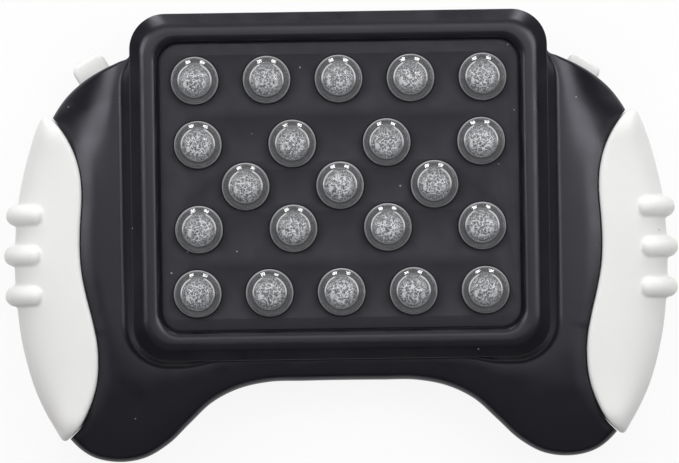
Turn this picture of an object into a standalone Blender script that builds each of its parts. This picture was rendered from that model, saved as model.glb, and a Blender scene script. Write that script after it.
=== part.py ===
"""Handheld electronic memory game: a game-pad shaped case, two white grips and 21 clear push bubbles.

Metres, +Z up. The game lies on its back at z = 0, its face looks up, and its top edge is at +Y.
"""

import math

import bmesh
import bpy
import numpy as np
from mathutils import Matrix, Vector

# The whole game
HALF_WIDTH = 0.0968
HALF_DEPTH = 0.0661
PARTING_HEIGHT = 0.016
DECK_HEIGHT = 0.0252
CREST_HEIGHT = 0.032
WALL = 0.0022
GAP = 0.0003
OVERRUN = 0.004
WELD = 0.00001

# Case shells. The outline follows the right half from the block's corner round to the bottom middle.
EDGE_ROUND = 0.0095
BACK_ROUND = 0.0088
FOOT_SIDE_INSET = 0.0096
FOOT_LOWER_INSET = 0.0064
FOOT_UPPER_INSET = 0.014
FOOT_RADIUS = 0.012
OUTLINE_STEPS = 2
OUTLINE_TURN = math.radians(26)
OUTLINE_shares = (
    (0.641, 0.807), (0.667, 0.791), (0.718, 0.758), (0.777, 0.708), (0.831, 0.641), (0.875, 0.551),
    (0.912, 0.416), (0.941, 0.234), (0.959, 0.030), (0.961, -0.182), (0.947, -0.393), (0.919, -0.605),
    (0.879, -0.779), (0.834, -0.897), (0.770, -0.973), (0.692, -0.999), (0.610, -0.983), (0.537, -0.923),
    (0.468, -0.828), (0.400, -0.737), (0.320, -0.678), (0.227, -0.649), (0.120, -0.646),
)
BLOCK_WIDTH_share = 0.636
BLOCK_DEPTH_share = 0.55
EDGE_shares = ((0, 0), (0.03, 0.22), (0.12, 0.46), (0.30, 0.67), (0.58, 0.84), (1, 0.95))
BACK_shares = ((0, 0), (0.06, 0.31), (0.22, 0.60), (0.55, 0.84), (1, 0.97))
REACH_share = 0.85

# Raised block round the panel
BLOCK_HALF_WIDTH = 0.06155
BLOCK_HALF_DEPTH = 0.05125
BLOCK_CORNER = 0.0105
BLOCK_OVERHANG = 0.0004
BLOCK_SINK = 0.0003
SKIRT_REACH = 0.0027
SKIRT_DROP = 0.0006
SKIRT_RISE = 0.0028
SKIRT_TOP_SET_BACK = 0.0085
SKIRT_share = 0.3
RIM_WIDTH = 0.00865
RIM_OUTER_ROUND = 0.004
RIM_INNER_ROUND = 0.0022
CORNER_STEPS = 4
ROUND_STEPS = 4
BLOCK_Y = HALF_DEPTH - BLOCK_HALF_DEPTH
BLOCK_LOW_Y = BLOCK_Y - BLOCK_HALF_DEPTH

# Face panel
PANEL_RECESS = 0.003
PANEL_THICKNESS = 0.0022
PANEL_CORNER = 0.006
PANEL_LEDGE = 0.0015
LEDGE_THICKNESS = 0.002
PANEL_TOP = CREST_HEIGHT - PANEL_RECESS
PANEL_BOTTOM = PANEL_TOP - PANEL_THICKNESS
PANEL_HALF_WIDTH = BLOCK_HALF_WIDTH - RIM_WIDTH
PANEL_HALF_DEPTH = BLOCK_HALF_DEPTH - RIM_WIDTH
LEDGE_TOP = PANEL_BOTTOM - GAP
LEDGE_BOTTOM = LEDGE_TOP - LEDGE_THICKNESS

# Push bubbles
BUBBLE_RADIUS = 0.007
BUBBLE_SINK = 0.001
BUBBLE_TRAVEL = 0.0025
BUBBLE_FLANGE_RADIUS = 0.0079
BUBBLE_FLANGE_THICKNESS = 0.001
BUBBLE_CORE_RADIUS = 0.005
BUBBLE_CORE_HEIGHT = 0.0295
BUBBLE_STEM_RADIUS = 0.0022
BUBBLE_STEM_RISE = 0.0011
BUBBLE_SEGMENTS = 10
DOME_STEPS = 3
BUBBLE_SIDE_MARGIN = 0.0105
BUBBLE_WIDE_MARGIN = 0.0112
BUBBLE_ROW_MARGIN = 0.0112
INNER_ROW = 0.0125
OUTER_ROW = PANEL_HALF_DEPTH - BUBBLE_ROW_MARGIN
WIDE_PITCH = (PANEL_HALF_WIDTH - BUBBLE_WIDE_MARGIN) * 2 / 3
CLOSE_PITCH = (PANEL_HALF_WIDTH - BUBBLE_SIDE_MARGIN) / 2
ROWS = (
    (OUTER_ROW, 5, CLOSE_PITCH),
    (INNER_ROW, 4, WIDE_PITCH),
    (0, 3, WIDE_PITCH),
    (-INNER_ROW, 4, WIDE_PITCH),
    (-OUTER_ROW, 5, CLOSE_PITCH),
)
BUBBLE_FLANGE_TOP = PANEL_BOTTOM - GAP
BUBBLE_FLANGE_BOTTOM = BUBBLE_FLANGE_TOP - BUBBLE_FLANGE_THICKNESS
BUBBLE_STEM_BOTTOM = BUBBLE_FLANGE_BOTTOM + BUBBLE_STEM_RISE

# Circuit board, with its key switches and lamps, and the plate of light wells above it
BOARD_SIDE_INSET = 0.0046
BOARD_END_INSET = 0.0033
BOARD_CORNER = 0.003
BOARD_THICKNESS = 0.0016
BOARD_TOP = 0.0208
BOARD_BOTTOM = BOARD_TOP - BOARD_THICKNESS
BOARD_HALF_WIDTH = BLOCK_HALF_WIDTH - BOARD_SIDE_INSET
BOARD_HALF_DEPTH = BLOCK_HALF_DEPTH - BOARD_END_INSET
SOLDER_DEPTH = 0.0002
SWITCH_HALF_SIDE = 0.003
SWITCH_HEIGHT = 0.0022
ACTUATOR_RADIUS = 0.00175
ACTUATOR_CLEARANCE = 0.0001
ACTUATOR_TOP = BUBBLE_STEM_BOTTOM - BUBBLE_TRAVEL - ACTUATOR_CLEARANCE
LAMP_OFFSET = 0.0052
LAMP_HALF_WIDTH = 0.0016
LAMP_HALF_DEPTH = 0.0008
LAMP_HEIGHT = 0.001
CHIP_RADIUS = 0.0065
CHIP_DROP = 0.0018
CHIP_EDGE_DISTANCE = 0.013
CHIP_SQUASH_share = 0.7
WELL_PLATE_SIDE_INSET = 0.0015
WELL_PLATE_END_INSET = 0.0065
WELL_PLATE_CORNER = 0.003
WELL_CLEARANCE = 0.0004
WELL_PLATE_BOTTOM = BOARD_TOP + GAP
WELL_PLATE_TOP = LEDGE_BOTTOM - GAP
WELL_PLATE_HALF_WIDTH = BOARD_HALF_WIDTH - WELL_PLATE_SIDE_INSET
WELL_PLATE_HALF_DEPTH = BOARD_HALF_DEPTH - WELL_PLATE_END_INSET
CHIP_X = BOARD_HALF_WIDTH - CHIP_EDGE_DISTANCE

# Screws. Each boss takes its screw's own sizes.
SCREW_SHANK_RADIUS = 0.0012
SCREW_HEAD_RADIUS = 0.0024
SCREW_HEAD_HEIGHT = 0.0016
SCREW_CLEARANCE = 0.0003
SCREW_SEGMENTS = 8
BOSS_WALL = 0.0016
BOSS_SEGMENTS = 10
BOSS_RADIUS = SCREW_SHANK_RADIUS + SCREW_CLEARANCE + BOSS_WALL
COUNTERBORE_CLEARANCE = 0.0004
COUNTERBORE_RADIUS = SCREW_HEAD_RADIUS + COUNTERBORE_CLEARANCE
CASE_SCREW_SEAT = 0.010
CASE_SCREW_TIP = 0.0208
CASE_SCREW_shares = ((0.66, -0.757), (0.703, -0.121), (0.687, 0.393))
BOARD_SCREW_SIDE_INSET = 0.007
BOARD_SCREW_END_INSET = 0.0024
BOARD_SCREW_X = BOARD_HALF_WIDTH - BOARD_SCREW_SIDE_INSET
BOARD_SCREW_OFFSET = BOARD_HALF_DEPTH - BOARD_SCREW_END_INSET
BOARD_SCREW_TIP = 0.0262
BOARD_BOSS_WALL = 0.0011
GRIP_SCREW_shares = (0.24, -0.46)
GRIP_SCREW_HEIGHT = 0.0115
GRIP_SCREW_LENGTH = 0.009

# Grips
SEAM_shares = (
    (0.8765, 0.546), (0.840, 0.477), (0.805, 0.378), (0.788, 0.280), (0.785, 0.182), (0.790, 0.076),
    (0.793, -0.038), (0.788, -0.151), (0.774, -0.257), (0.754, -0.378), (0.743, -0.469), (0.741, -0.552),
    (0.749, -0.658), (0.772, -0.759), (0.802, -0.840), (0.842, -0.902),
)
GRIP_EDGE_shares = (
    (0.911, 0.546), (0.924, 0.507), (0.944, 0.428), (0.968, 0.303), (0.987, 0.166), (0.997, 0.015),
    (1, -0.159), (0.994, -0.306), (0.985, -0.424), (0.967, -0.552), (0.940, -0.681), (0.907, -0.787),
    (0.875, -0.868), (0.862, -0.902),
)
GRIP_WALL = 0.002
GRIP_SEAM_GAP = 0.00035
GRIP_PROUD = 0.001
GRIP_RECESS = 0.0012
GRIP_TIP_DEPTH = 0.0014
GRIP_SIDE_DROP = 0.002
GRIP_EDGE_ROUND = 0.0013
GRIP_END_ROUND = 0.0012
GRIP_STATIONS = 15
GRIP_SIDE_STEPS = 9
GRIP_SQUARENESS_share = 2.7
GRIP_END_shares = ((0, 0.72), (0.35, 0.92))
GRIP_CAVITY_shares = (-0.76, -0.6, -0.4, -0.15, 0.1, 0.3, 0.42)
EDGE_WIDTH_share = 0.3
EDGE_CUT_share = 0.3
SPLINE_STEPS = 2

# Finger ribs on the grips
RIB_RADIUS = 0.0031
RIB_PROUD = 0.00323
RIB_SPAN = 0.0108
RIB_RISE = 0.0016
RIB_LOWER_RISE = 0.0006
RIB_PITCH = 0.0119
RIB_MIDDLE_Y = -0.00465
RIB_STEPS = 12
RIB_END_shares = (0.4, 0.85)

# Shoulder buttons
SHOULDER_X = 0.0724
SHOULDER_TILT = math.radians(30.5)
SHOULDER_HALF_WIDTH = 0.00515
SHOULDER_BOTTOM = 0.0097
SHOULDER_ROUND = 0.0014
SHOULDER_FLANGE_HALF_WIDTH = 0.007
SHOULDER_FLANGE_THICKNESS = 0.0012
SHOULDER_FLANGE_SET_BACK = 0.0038
LEFT_PROTRUSION = 0.0052
RIGHT_PROTRUSION = 0.003
LEFT_TRAVEL = 0.0025
RIGHT_TRAVEL = 0.0015
SHOULDER_SWITCH_HALF_SIDE = 0.003
SHOULDER_SWITCH_DEPTH = 0.0045
SHOULDER_PLUNGER_RADIUS = 0.0016
SHOULDER_PLUNGER_LENGTH = 0.0012
SHOULDER_TOP = PARTING_HEIGHT - GAP

# Battery bay, in the back shell
CELL_RADIUS = 0.00725
CELL_LENGTH = 0.0505
CELL_NUB_RADIUS = 0.0027
CELL_NUB_LENGTH = 0.0012
CELL_PITCH = 0.0151
CELL_Y = 0.010
CELL_EDGE = 0.0006
CELL_SEGMENTS = 12
DOOR_SET_BACK = 0.0004
DOOR_THICKNESS = 0.0018
DOOR_HALF_WIDTH = 0.0289
DOOR_BOTTOM_Y = -0.0127
DOOR_TOP_Y = 0.0327
DOOR_CORNER = 0.0015
DOOR_TAB_X = 0.015
DOOR_TAB_HALF_WIDTH = 0.004
DOOR_TAB_THICKNESS = 0.0014
DOOR_TAB_REACH = 0.0033
DOOR_TAB_ROOT = 0.0017
DOOR_LUG_RADIUS = 0.0042
DOOR_SCREW_Y = 0.0372
DOOR_SCREW_LENGTH = 0.0048
DOOR_SCREW_CLEARANCE = 0.0006
DOOR_SCREW_HEAD = 0.0008
DOOR_SCREW_SEAT = 0.0013
DOOR_GRIP_RIBS = 4
DOOR_GRIP_RIB_PITCH = 0.003
DOOR_GRIP_RIB_HALF_LENGTH = 0.009
DOOR_GRIP_RIB_HALF_WIDTH = 0.0005
DOOR_GRIP_RIB_DEPTH = 0.0004
BAY_WALL = 0.0014
BAY_TAB_ROOM = 0.0048
BAY_HALF_LENGTH = 0.0296
BAY_CLEARANCE = 0.0004
CONTACT_THICKNESS = 0.0005
CONTACT_HALF_WIDTH = 0.0052
CONTACT_BOTTOM = 0.004
CONTACT_TAIL_HALF_WIDTH = 0.001
SPRING_WIRE = 0.0004
SPRING_TURNS = 3
SPRING_POINTS = 6
SPRING_WIDE_RADIUS = 0.0042
SPRING_NARROW_RADIUS = 0.0028
DOOR_BOTTOM = DOOR_SET_BACK
DOOR_TOP = DOOR_BOTTOM + DOOR_THICKNESS
CELL_HEIGHT = DOOR_TOP + BAY_CLEARANCE + CELL_RADIUS
BAY_ROOF = CELL_HEIGHT + CELL_RADIUS + BAY_CLEARANCE
BAY_TOP = BAY_ROOF + BAY_WALL
BAY_LOW_Y = DOOR_BOTTOM_Y - BAY_TAB_ROOM
BAY_HIGH_Y = DOOR_TOP_Y + GAP
CONTACT_FACE = BAY_HALF_LENGTH - GAP - CONTACT_THICKNESS
CELL_SHIFT = CONTACT_FACE - GAP - CELL_LENGTH / 2

# Speaker, behind slots in the back
SPEAKER_X = -0.0465
SPEAKER_Y = 0.012
SPEAKER_RADIUS = 0.010
SPEAKER_RIM = 0.0015
SPEAKER_DEPTH = 0.0055
SPEAKER_MAGNET_RADIUS = 0.006
SPEAKER_SEGMENTS = 16
SPEAKER_SLOTS = 5
SPEAKER_SLOT_PITCH = 0.003
SPEAKER_SLOT_HALF_WIDTH = 0.0007
SPEAKER_SLOT_HALF_LENGTH = 0.0062
LEAD_RADIUS = 0.0005
LEAD_SPREAD = 0.002
LEAD_LEAN = 0.006
LEAD_STEPS = 8

BLACK = (0.035, 0.035, 0.040)
DARK_GREY = (0.042, 0.042, 0.047)
WHITE = (0.80, 0.80, 0.79)
CLEAR = (0.75, 0.80, 0.82)
MILKY = (0.70, 0.70, 0.70)
BOARD_GREEN = (0.03, 0.18, 0.07)
STEEL = (0.55, 0.55, 0.56)
COPPER_TOP = (0.60, 0.42, 0.18)
RED = (0.55, 0.03, 0.03)


def clear_scene():
    for obj in list(bpy.data.objects):
        bpy.data.objects.remove(obj)


def new_collection(name):
    collection = bpy.data.collections.new(name)
    bpy.context.scene.collection.children.link(collection)
    return collection


def material(name, colour, roughness, metallic=0.0, alpha=1.0):
    made = bpy.data.materials.new(name)
    made.use_nodes = True
    shader = made.node_tree.nodes["Principled BSDF"]
    shader.inputs["Base Color"].default_value = (*colour, 1)
    shader.inputs["Roughness"].default_value = roughness
    shader.inputs["Metallic"].default_value = metallic
    shader.inputs["Alpha"].default_value = alpha
    return made


clear_scene()
PARTS = new_collection("electronic_memory_game")
TOOLS = new_collection("cutters_and_guides")

BLACK_PLASTIC = material("black_plastic", BLACK, 0.45)
PANEL_PLASTIC = material("panel_plastic", DARK_GREY, 0.6)
WHITE_PLASTIC = material("white_plastic", WHITE, 0.35)
CLEAR_PLASTIC = material("clear_plastic", CLEAR, 0.1, alpha=0.5)
MILKY_PLASTIC = material("milky_plastic", MILKY, 0.5)
BOARD = material("green_board", BOARD_GREEN, 0.5)
METAL = material("steel", STEEL, 0.3, metallic=1.0)
CELL_CAN = material("cell_jacket", COPPER_TOP, 0.35, metallic=0.6)
BLACK_RUBBER = material("black_insulation", BLACK, 0.6)
RED_RUBBER = material("red_insulation", RED, 0.6)


def as_tool(obj):
    """Makes an object a cutter or a guide, which the model leaves out."""
    obj.hide_render = True
    obj.display_type = "WIRE"
    return obj


def add_object(name, data, finish=None):
    """An object of the model where a finish is given, and a cutter where none is."""
    obj = bpy.data.objects.new(name, data)
    if finish is None:
        TOOLS.objects.link(obj)
        return as_tool(obj)
    PARTS.objects.link(obj)
    data.materials.clear()
    data.materials.append(finish)
    if obj.type == "MESH":
        data.shade_smooth()
        data.set_sharp_from_angle(angle=math.radians(35))
    return obj


def from_bmesh(name, bm, finish=None):
    bmesh.ops.recalc_face_normals(bm, faces=bm.faces)
    mesh = bpy.data.meshes.new(name)
    bm.to_mesh(mesh)
    bm.free()
    return add_object(name, mesh, finish)


def box(name, low, high, finish=None):
    low, high = Vector(low), Vector(high)
    bm = bmesh.new()
    bmesh.ops.create_cube(bm, size=1)
    bmesh.ops.scale(bm, vec=high - low, verts=bm.verts)
    bmesh.ops.translate(bm, vec=(low + high) / 2, verts=bm.verts)
    return from_bmesh(name, bm, finish)


def cylinder(name, start, end, radius, segments=BOSS_SEGMENTS, finish=None):
    start, end = Vector(start), Vector(end)
    run = end - start
    turn = run.to_track_quat("Z", "Y").to_matrix().to_4x4()
    bm = bmesh.new()
    bmesh.ops.create_cone(
        bm, cap_ends=True, segments=segments, radius1=radius, radius2=radius, depth=run.length,
        matrix=Matrix.Translation((start + end) / 2) @ turn,
    )
    return from_bmesh(name, bm, finish)


def loft(name, rings, finish=None):
    """A closed skin over rings of equally many points, with a flat cap on each end."""
    bm = bmesh.new()
    rows = [[bm.verts.new(point) for point in ring] for ring in rings]
    for row, after in zip(rows, rows[1:]):
        for i in range(len(row)):
            bm.faces.new((row[i - 1], row[i], after[i], after[i - 1]))
    bm.faces.new(rows[0])
    bm.faces.new(rows[-1])
    return from_bmesh(name, bm, finish)


def settled(obj):
    """The object's evaluated shape as a plain mesh, with a curve's loose caps welded on."""
    graph = bpy.context.evaluated_depsgraph_get()
    mesh = bpy.data.meshes.new_from_object(obj.evaluated_get(graph), depsgraph=graph)
    bm = bmesh.new()
    bm.from_mesh(mesh)
    bmesh.ops.remove_doubles(bm, verts=bm.verts, dist=WELD)
    bmesh.ops.recalc_face_normals(bm, faces=bm.faces)
    bm.to_mesh(mesh)
    bm.free()
    place = obj.matrix_world.copy()
    name = obj.name
    bpy.data.objects.remove(obj)
    return name, mesh, place


def meshed(obj, finish=None):
    """Replaces a curve, or an object with modifiers, by a mesh object of the same name and place."""
    name, mesh, place = settled(obj)
    made = add_object(name, mesh, finish)
    made.matrix_world = place
    return made


def finished(obj, finish):
    """Settles an object's cuts and joins, and removes the tools that made them."""
    bpy.context.view_layer.update()
    made = meshed(obj, finish)
    for tool in list(TOOLS.all_objects):
        bpy.data.objects.remove(tool)
    for group in list(TOOLS.children):
        bpy.data.collections.remove(group)
    return made


def plate(name, loops, low, high, finish=None):
    """A flat plate from low to high whose outline is the first loop and whose holes are the others."""
    curve = bpy.data.curves.new(name, "CURVE")
    curve.dimensions = "2D"
    curve.fill_mode = "BOTH"
    curve.extrude = (high - low) / 2
    for loop in loops:
        spline = curve.splines.new("POLY")
        spline.points.add(len(loop) - 1)
        for point, (x, y) in zip(spline.points, loop):
            point.co = (x, y, 0, 1)
        spline.use_cyclic_u = True
    obj = add_object(name, curve)
    obj.location.z = (low + high) / 2
    bpy.context.view_layer.update()
    return meshed(obj, finish)


def tube(name, points, radius, sides, shares=None, finish=None):
    """A filled tube along the points, whose radius each share scales."""
    curve = bpy.data.curves.new(name, "CURVE")
    curve.dimensions = "3D"
    curve.bevel_depth = radius
    curve.bevel_resolution = sides
    curve.use_fill_caps = True
    spline = curve.splines.new("POLY")
    spline.points.add(len(points) - 1)
    for i, point in enumerate(points):
        spline.points[i].co = (*point, 1)
        spline.points[i].radius = shares[i] if shares else 1
    obj = add_object(name, curve)
    bpy.context.view_layer.update()
    return meshed(obj, finish)


def turned(name, profile, segments):
    """The mesh of a shape turned about Z. The profile runs down its outer side, top to bottom."""
    bm = bmesh.new()
    verts = [bm.verts.new((radius, 0, height)) for radius, height in profile]
    for pair in zip(verts, verts[1:]):
        bm.edges.new(pair)
    mesh = bpy.data.meshes.new(name)
    bm.to_mesh(mesh)
    bm.free()
    obj = add_object(name, mesh)
    screw = obj.modifiers.new("turn", "SCREW")
    screw.steps = segments
    screw.render_steps = segments
    screw.use_merge_vertices = True
    screw.merge_threshold = WELD
    bpy.context.view_layer.update()
    return settled(obj)[1]


def combine(obj, operation, tools):
    """Joins tools to an object or cuts them from it."""
    group = bpy.data.collections.new(obj.name + "_" + operation.lower())
    TOOLS.children.link(group)
    for tool in tools:
        TOOLS.objects.unlink(tool)
        group.objects.link(tool)
    modifier = obj.modifiers.new(operation.lower(), "BOOLEAN")
    modifier.operation = operation
    modifier.operand_type = "COLLECTION"
    modifier.collection = group
    return obj


def cut(obj, *tools):
    return combine(obj, "DIFFERENCE", tools)


def join(obj, *tools):
    return combine(obj, "UNION", tools)


def smooth(points, steps, closed, least_turn=0.0):
    """A curve through the points. A span that turns enough gets equal steps. Long spans don't bend short ones."""
    points = [Vector(point) for point in points]
    last = len(points) - 1
    if closed:
        ends = points[last], points[0], points[1]
    else:
        ends = 2 * points[0] - points[1], 2 * points[last] - points[last - 1], None
    row = [ends[0], *points, *[end for end in ends[1:] if end is not None]]
    found = []
    for before, start, end, after in zip(row, row[1:], row[2:], row[3:]):
        first, span, third = (start - before).length, (end - start).length, (after - end).length
        leave = (start - before) / first - (end - before) / (first + span) + (end - start) / span
        arrive = (end - start) / span - (after - start) / (span + third) + (after - end) / third
        count = steps if (start - before).angle(after - end) >= least_turn else 1
        for step in range(count):
            t = step / count
            found.append(
                start * (2 * t**3 - 3 * t**2 + 1) + end * (3 * t**2 - 2 * t**3)
                + leave * span * (t**3 - 2 * t**2 + t) + arrive * span * (t**3 - t**2)
            )
    return found if closed else [*found, points[last]]


def rounded_rectangle(half_width, half_depth, radius, steps=CORNER_STEPS, centre_y=BLOCK_Y):
    """The corners' points, from the right side round by the top."""
    points = []
    for corner, (side, end) in enumerate(((1, 1), (-1, 1), (-1, -1), (1, -1))):
        for step in range(steps + 1):
            angle = (corner + step / steps) * math.pi / 2
            x = side * (half_width - radius) + radius * math.cos(angle)
            y = end * (half_depth - radius) + radius * math.sin(angle)
            points.append(Vector((x, centre_y + y)))
    return points


def circle(centre_x, centre_y, radius, segments):
    turns = [2 * math.pi * i / segments for i in range(segments)]
    return [(centre_x + radius * math.cos(a), centre_y + radius * math.sin(a)) for a in turns]


def placed(x_share, y_share):
    """A point by its shares of the case, where the block takes fixed shares of the width and the depth."""
    side = HALF_WIDTH - BLOCK_HALF_WIDTH
    if x_share > BLOCK_WIDTH_share:
        x = BLOCK_HALF_WIDTH + side * (x_share - BLOCK_WIDTH_share) / (1 - BLOCK_WIDTH_share)
    else:
        x = BLOCK_HALF_WIDTH * x_share / BLOCK_WIDTH_share
    if y_share > -BLOCK_DEPTH_share:
        y = BLOCK_LOW_Y + (HALF_DEPTH - BLOCK_LOW_Y) * (y_share + BLOCK_DEPTH_share) / (1 + BLOCK_DEPTH_share)
    else:
        y = BLOCK_LOW_Y + (HALF_DEPTH + BLOCK_LOW_Y) * (y_share + BLOCK_DEPTH_share) / (1 - BLOCK_DEPTH_share)
    return Vector((x, y))


def case_outline():
    """The case at its parting line: the block's corner, then the wing, the lobe and the arch between the lobes."""
    half_width = BLOCK_HALF_WIDTH - BLOCK_OVERHANG
    half_depth = BLOCK_HALF_DEPTH - BLOCK_OVERHANG
    corner = rounded_rectangle(half_width, half_depth, BLOCK_CORNER, steps=ROUND_STEPS)[: ROUND_STEPS + 1]
    wing = [placed(*shares) for shares in OUTLINE_shares]
    right = [*reversed(corner), *wing]
    left = [Vector((-x, y)) for x, y in reversed(right)]
    return [*right, *left]


OUTLINE = smooth(case_outline(), OUTLINE_STEPS, closed=True, least_turn=OUTLINE_TURN)
HOLLOW_OUTLINE = smooth(case_outline(), 1, closed=True)
SEAM = smooth([placed(*shares) for shares in SEAM_shares], SPLINE_STEPS, closed=False)
GRIP_EDGE = smooth([placed(*shares) for shares in GRIP_EDGE_shares], SPLINE_STEPS, closed=False)
GRIP_SCREW_YS = [placed(0, share).y for share in GRIP_SCREW_shares]


def across(curve, y):
    """The curve's x at this y, for a curve that runs from the top down."""
    return float(np.interp(-y, [-point.y for point in curve], [point.x for point in curve]))


def outline_y(x):
    """The y of the case's upper right edge at this x."""
    edge = [point for point in OUTLINE if point.x > BLOCK_HALF_WIDTH and point.y > 0]
    edge.sort(key=lambda point: point.x)
    return float(np.interp(x, [point.x for point in edge], [point.y for point in edge]))


def depth_inside(x, y):
    """The distance from a point to the case's outline."""
    spot = Vector((x, y))
    return min((spot - point).length for point in OUTLINE)


def front_height(depth):
    """The case's upper surface at a distance in from its outline."""
    rise = DECK_HEIGHT - PARTING_HEIGHT
    shares = [share for share, _ in EDGE_shares]
    heights = [PARTING_HEIGHT + rise * share for _, share in EDGE_shares]
    return float(np.interp(depth / EDGE_ROUND, shares, heights))


def back_height(depth):
    shares = [share for share, _ in BACK_shares]
    heights = [PARTING_HEIGHT * (1 - share) for _, share in BACK_shares]
    return float(np.interp(depth / BACK_ROUND, shares, heights))


def onto_core(point, half_width, low, high, radius):
    """The nearest point on a rounded rectangle to a point outside it."""
    x = min(max(point.x, radius - half_width), half_width - radius)
    y = min(max(point.y, low + radius), high - radius)
    nearest = Vector((x, y))
    return nearest + (point - nearest).normalized() * radius


def inset_ring(outline, inset, core, height):
    """The outline moved in by an inset, but only a share of the way to the core."""
    ring = []
    for i, (point, goal) in enumerate(zip(outline, core)):
        along = (outline[(i + 1) % len(outline)] - point).normalized() + (point - outline[i - 1]).normalized()
        normal = Vector((along.y, -along.x)).normalized()
        step = min(inset, (goal - point).length * REACH_share)
        ring.append((*(point + normal * step), height))
    return ring


def flat_ring(points, height):
    return [(x, y, height) for x, y in points]


def skirt_cores():
    """The foot of the block's skirt, its top just inside the block's wall, and a pit's edge under the rim."""
    low = BLOCK_LOW_Y
    high = HALF_DEPTH - SKIRT_TOP_SET_BACK
    foot = [
        onto_core(point, BLOCK_HALF_WIDTH + SKIRT_REACH, low - SKIRT_DROP, high, BLOCK_CORNER + SKIRT_REACH)
        for point in OUTLINE
    ]
    top = [
        onto_core(point, BLOCK_HALF_WIDTH - BLOCK_SINK, low + BLOCK_SINK, HALF_DEPTH - BLOCK_SINK, BLOCK_CORNER)
        for point in OUTLINE
    ]
    inset = RIM_WIDTH / 2
    pit = [
        onto_core(point, BLOCK_HALF_WIDTH - inset, low + inset, HALF_DEPTH - inset, PANEL_CORNER)
        for point in top
    ]
    return foot, top, pit


def foot_core(outline):
    half_width = BLOCK_HALF_WIDTH - FOOT_SIDE_INSET
    low, high = BLOCK_LOW_Y + FOOT_LOWER_INSET, HALF_DEPTH - FOOT_UPPER_INSET
    return [onto_core(point, half_width, low, high, FOOT_RADIUS) for point in outline]


def edge_rings(outline, wall, core):
    """The front's rounded edge, set in by a wall, from below the parting line up to the deck."""
    rings = [inset_ring(outline, wall, core, PARTING_HEIGHT - OVERRUN)]
    for share, rise_share in EDGE_shares:
        height = PARTING_HEIGHT + (DECK_HEIGHT - wall - PARTING_HEIGHT) * rise_share
        rings.append(inset_ring(outline, wall + (EDGE_ROUND - wall) * share, core, height))
    return rings


def front_wings():
    """The case's front without its block: rounded edge, near flat deck, and the skirt up to the block.

    Within the block it dips below the panel's ledge, so that it doesn't fill the panel's recess.
    """
    foot, top, pit = skirt_cores()
    middle = [point.lerp(goal, 1 - SKIRT_share) for point, goal in zip(foot, top)]
    rings = edge_rings(OUTLINE, 0, foot)
    rings.append(flat_ring(foot, DECK_HEIGHT))
    rings.append(flat_ring(middle, DECK_HEIGHT + SKIRT_RISE * SKIRT_share))
    rings.append(flat_ring(top, DECK_HEIGHT + SKIRT_RISE))
    rings.append(flat_ring(pit, LEDGE_BOTTOM))
    return loft("front_shell", rings)


def front_hollow():
    core = foot_core(HOLLOW_OUTLINE)
    rings = edge_rings(HOLLOW_OUTLINE, WALL, core)
    rings.append(flat_ring(core, DECK_HEIGHT - WALL))
    return loft("front_hollow", rings)


def back_tub(name, outline, wall):
    """The case's back, set in by a wall: rounded edge and flat foot."""
    core = foot_core(outline)
    rings = [flat_ring(core, wall)]
    for share, drop_share in reversed(BACK_shares):
        height = PARTING_HEIGHT - (PARTING_HEIGHT - wall) * drop_share
        rings.append(inset_ring(outline, wall + (BACK_ROUND - wall) * share, core, height))
    rings.append(inset_ring(outline, wall, core, PARTING_HEIGHT + OVERRUN))
    return loft(name, rings)


def block_ring(inset, height):
    share = inset / RIM_WIDTH
    radius = BLOCK_CORNER * (1 - share) + PANEL_CORNER * share
    return flat_ring(rounded_rectangle(BLOCK_HALF_WIDTH - inset, BLOCK_HALF_DEPTH - inset, radius), height)


def block_solid():
    """The block with its rounded rim and the recess for the panel."""
    rings = [block_ring(0, PARTING_HEIGHT - OVERRUN)]
    for step in range(ROUND_STEPS + 1):
        angle = math.pi / 2 * step / ROUND_STEPS
        inset = RIM_OUTER_ROUND * (1 - math.cos(angle))
        rings.append(block_ring(inset, CREST_HEIGHT - RIM_OUTER_ROUND * (1 - math.sin(angle))))
    wall = RIM_WIDTH - GAP
    for step in range(ROUND_STEPS + 1):
        angle = math.pi / 2 * step / ROUND_STEPS
        inset = wall - RIM_INNER_ROUND * (1 - math.sin(angle))
        rings.append(block_ring(inset, CREST_HEIGHT - RIM_INNER_ROUND * (1 - math.cos(angle))))
    rings.append(block_ring(wall, LEDGE_TOP))
    return loft("block", rings)


def beyond_seam(name, side, spare):
    """The space beyond a seam, where a grip goes, widened by spare."""
    far = HALF_WIDTH + OVERRUN
    seam = [(side * (point.x - spare), point.y) for point in SEAM]
    top, bottom = seam[0][1] + spare, seam[-1][1] - spare
    loop = [(side * far, top), (seam[0][0], top), *seam, (seam[-1][0], bottom), (side * far, bottom)]
    if not spare:
        loop = [(side * far, top), *seam, (side * far, bottom)]
    return plate(name, [loop], -OVERRUN, CREST_HEIGHT + OVERRUN)


def case_screw_places():
    spots = [placed(*shares) for shares in CASE_SCREW_shares]
    return [(side * spot.x, spot.y) for spot in spots for side in (-1, 1)]


def board_screw_places():
    offsets = (-BOARD_SCREW_OFFSET, BOARD_SCREW_OFFSET)
    return [(side * BOARD_SCREW_X, BLOCK_Y + offset) for offset in offsets for side in (-1, 1)]


def block_loop(inset, radius):
    return rounded_rectangle(BLOCK_HALF_WIDTH - inset, BLOCK_HALF_DEPTH - inset, radius)


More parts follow.
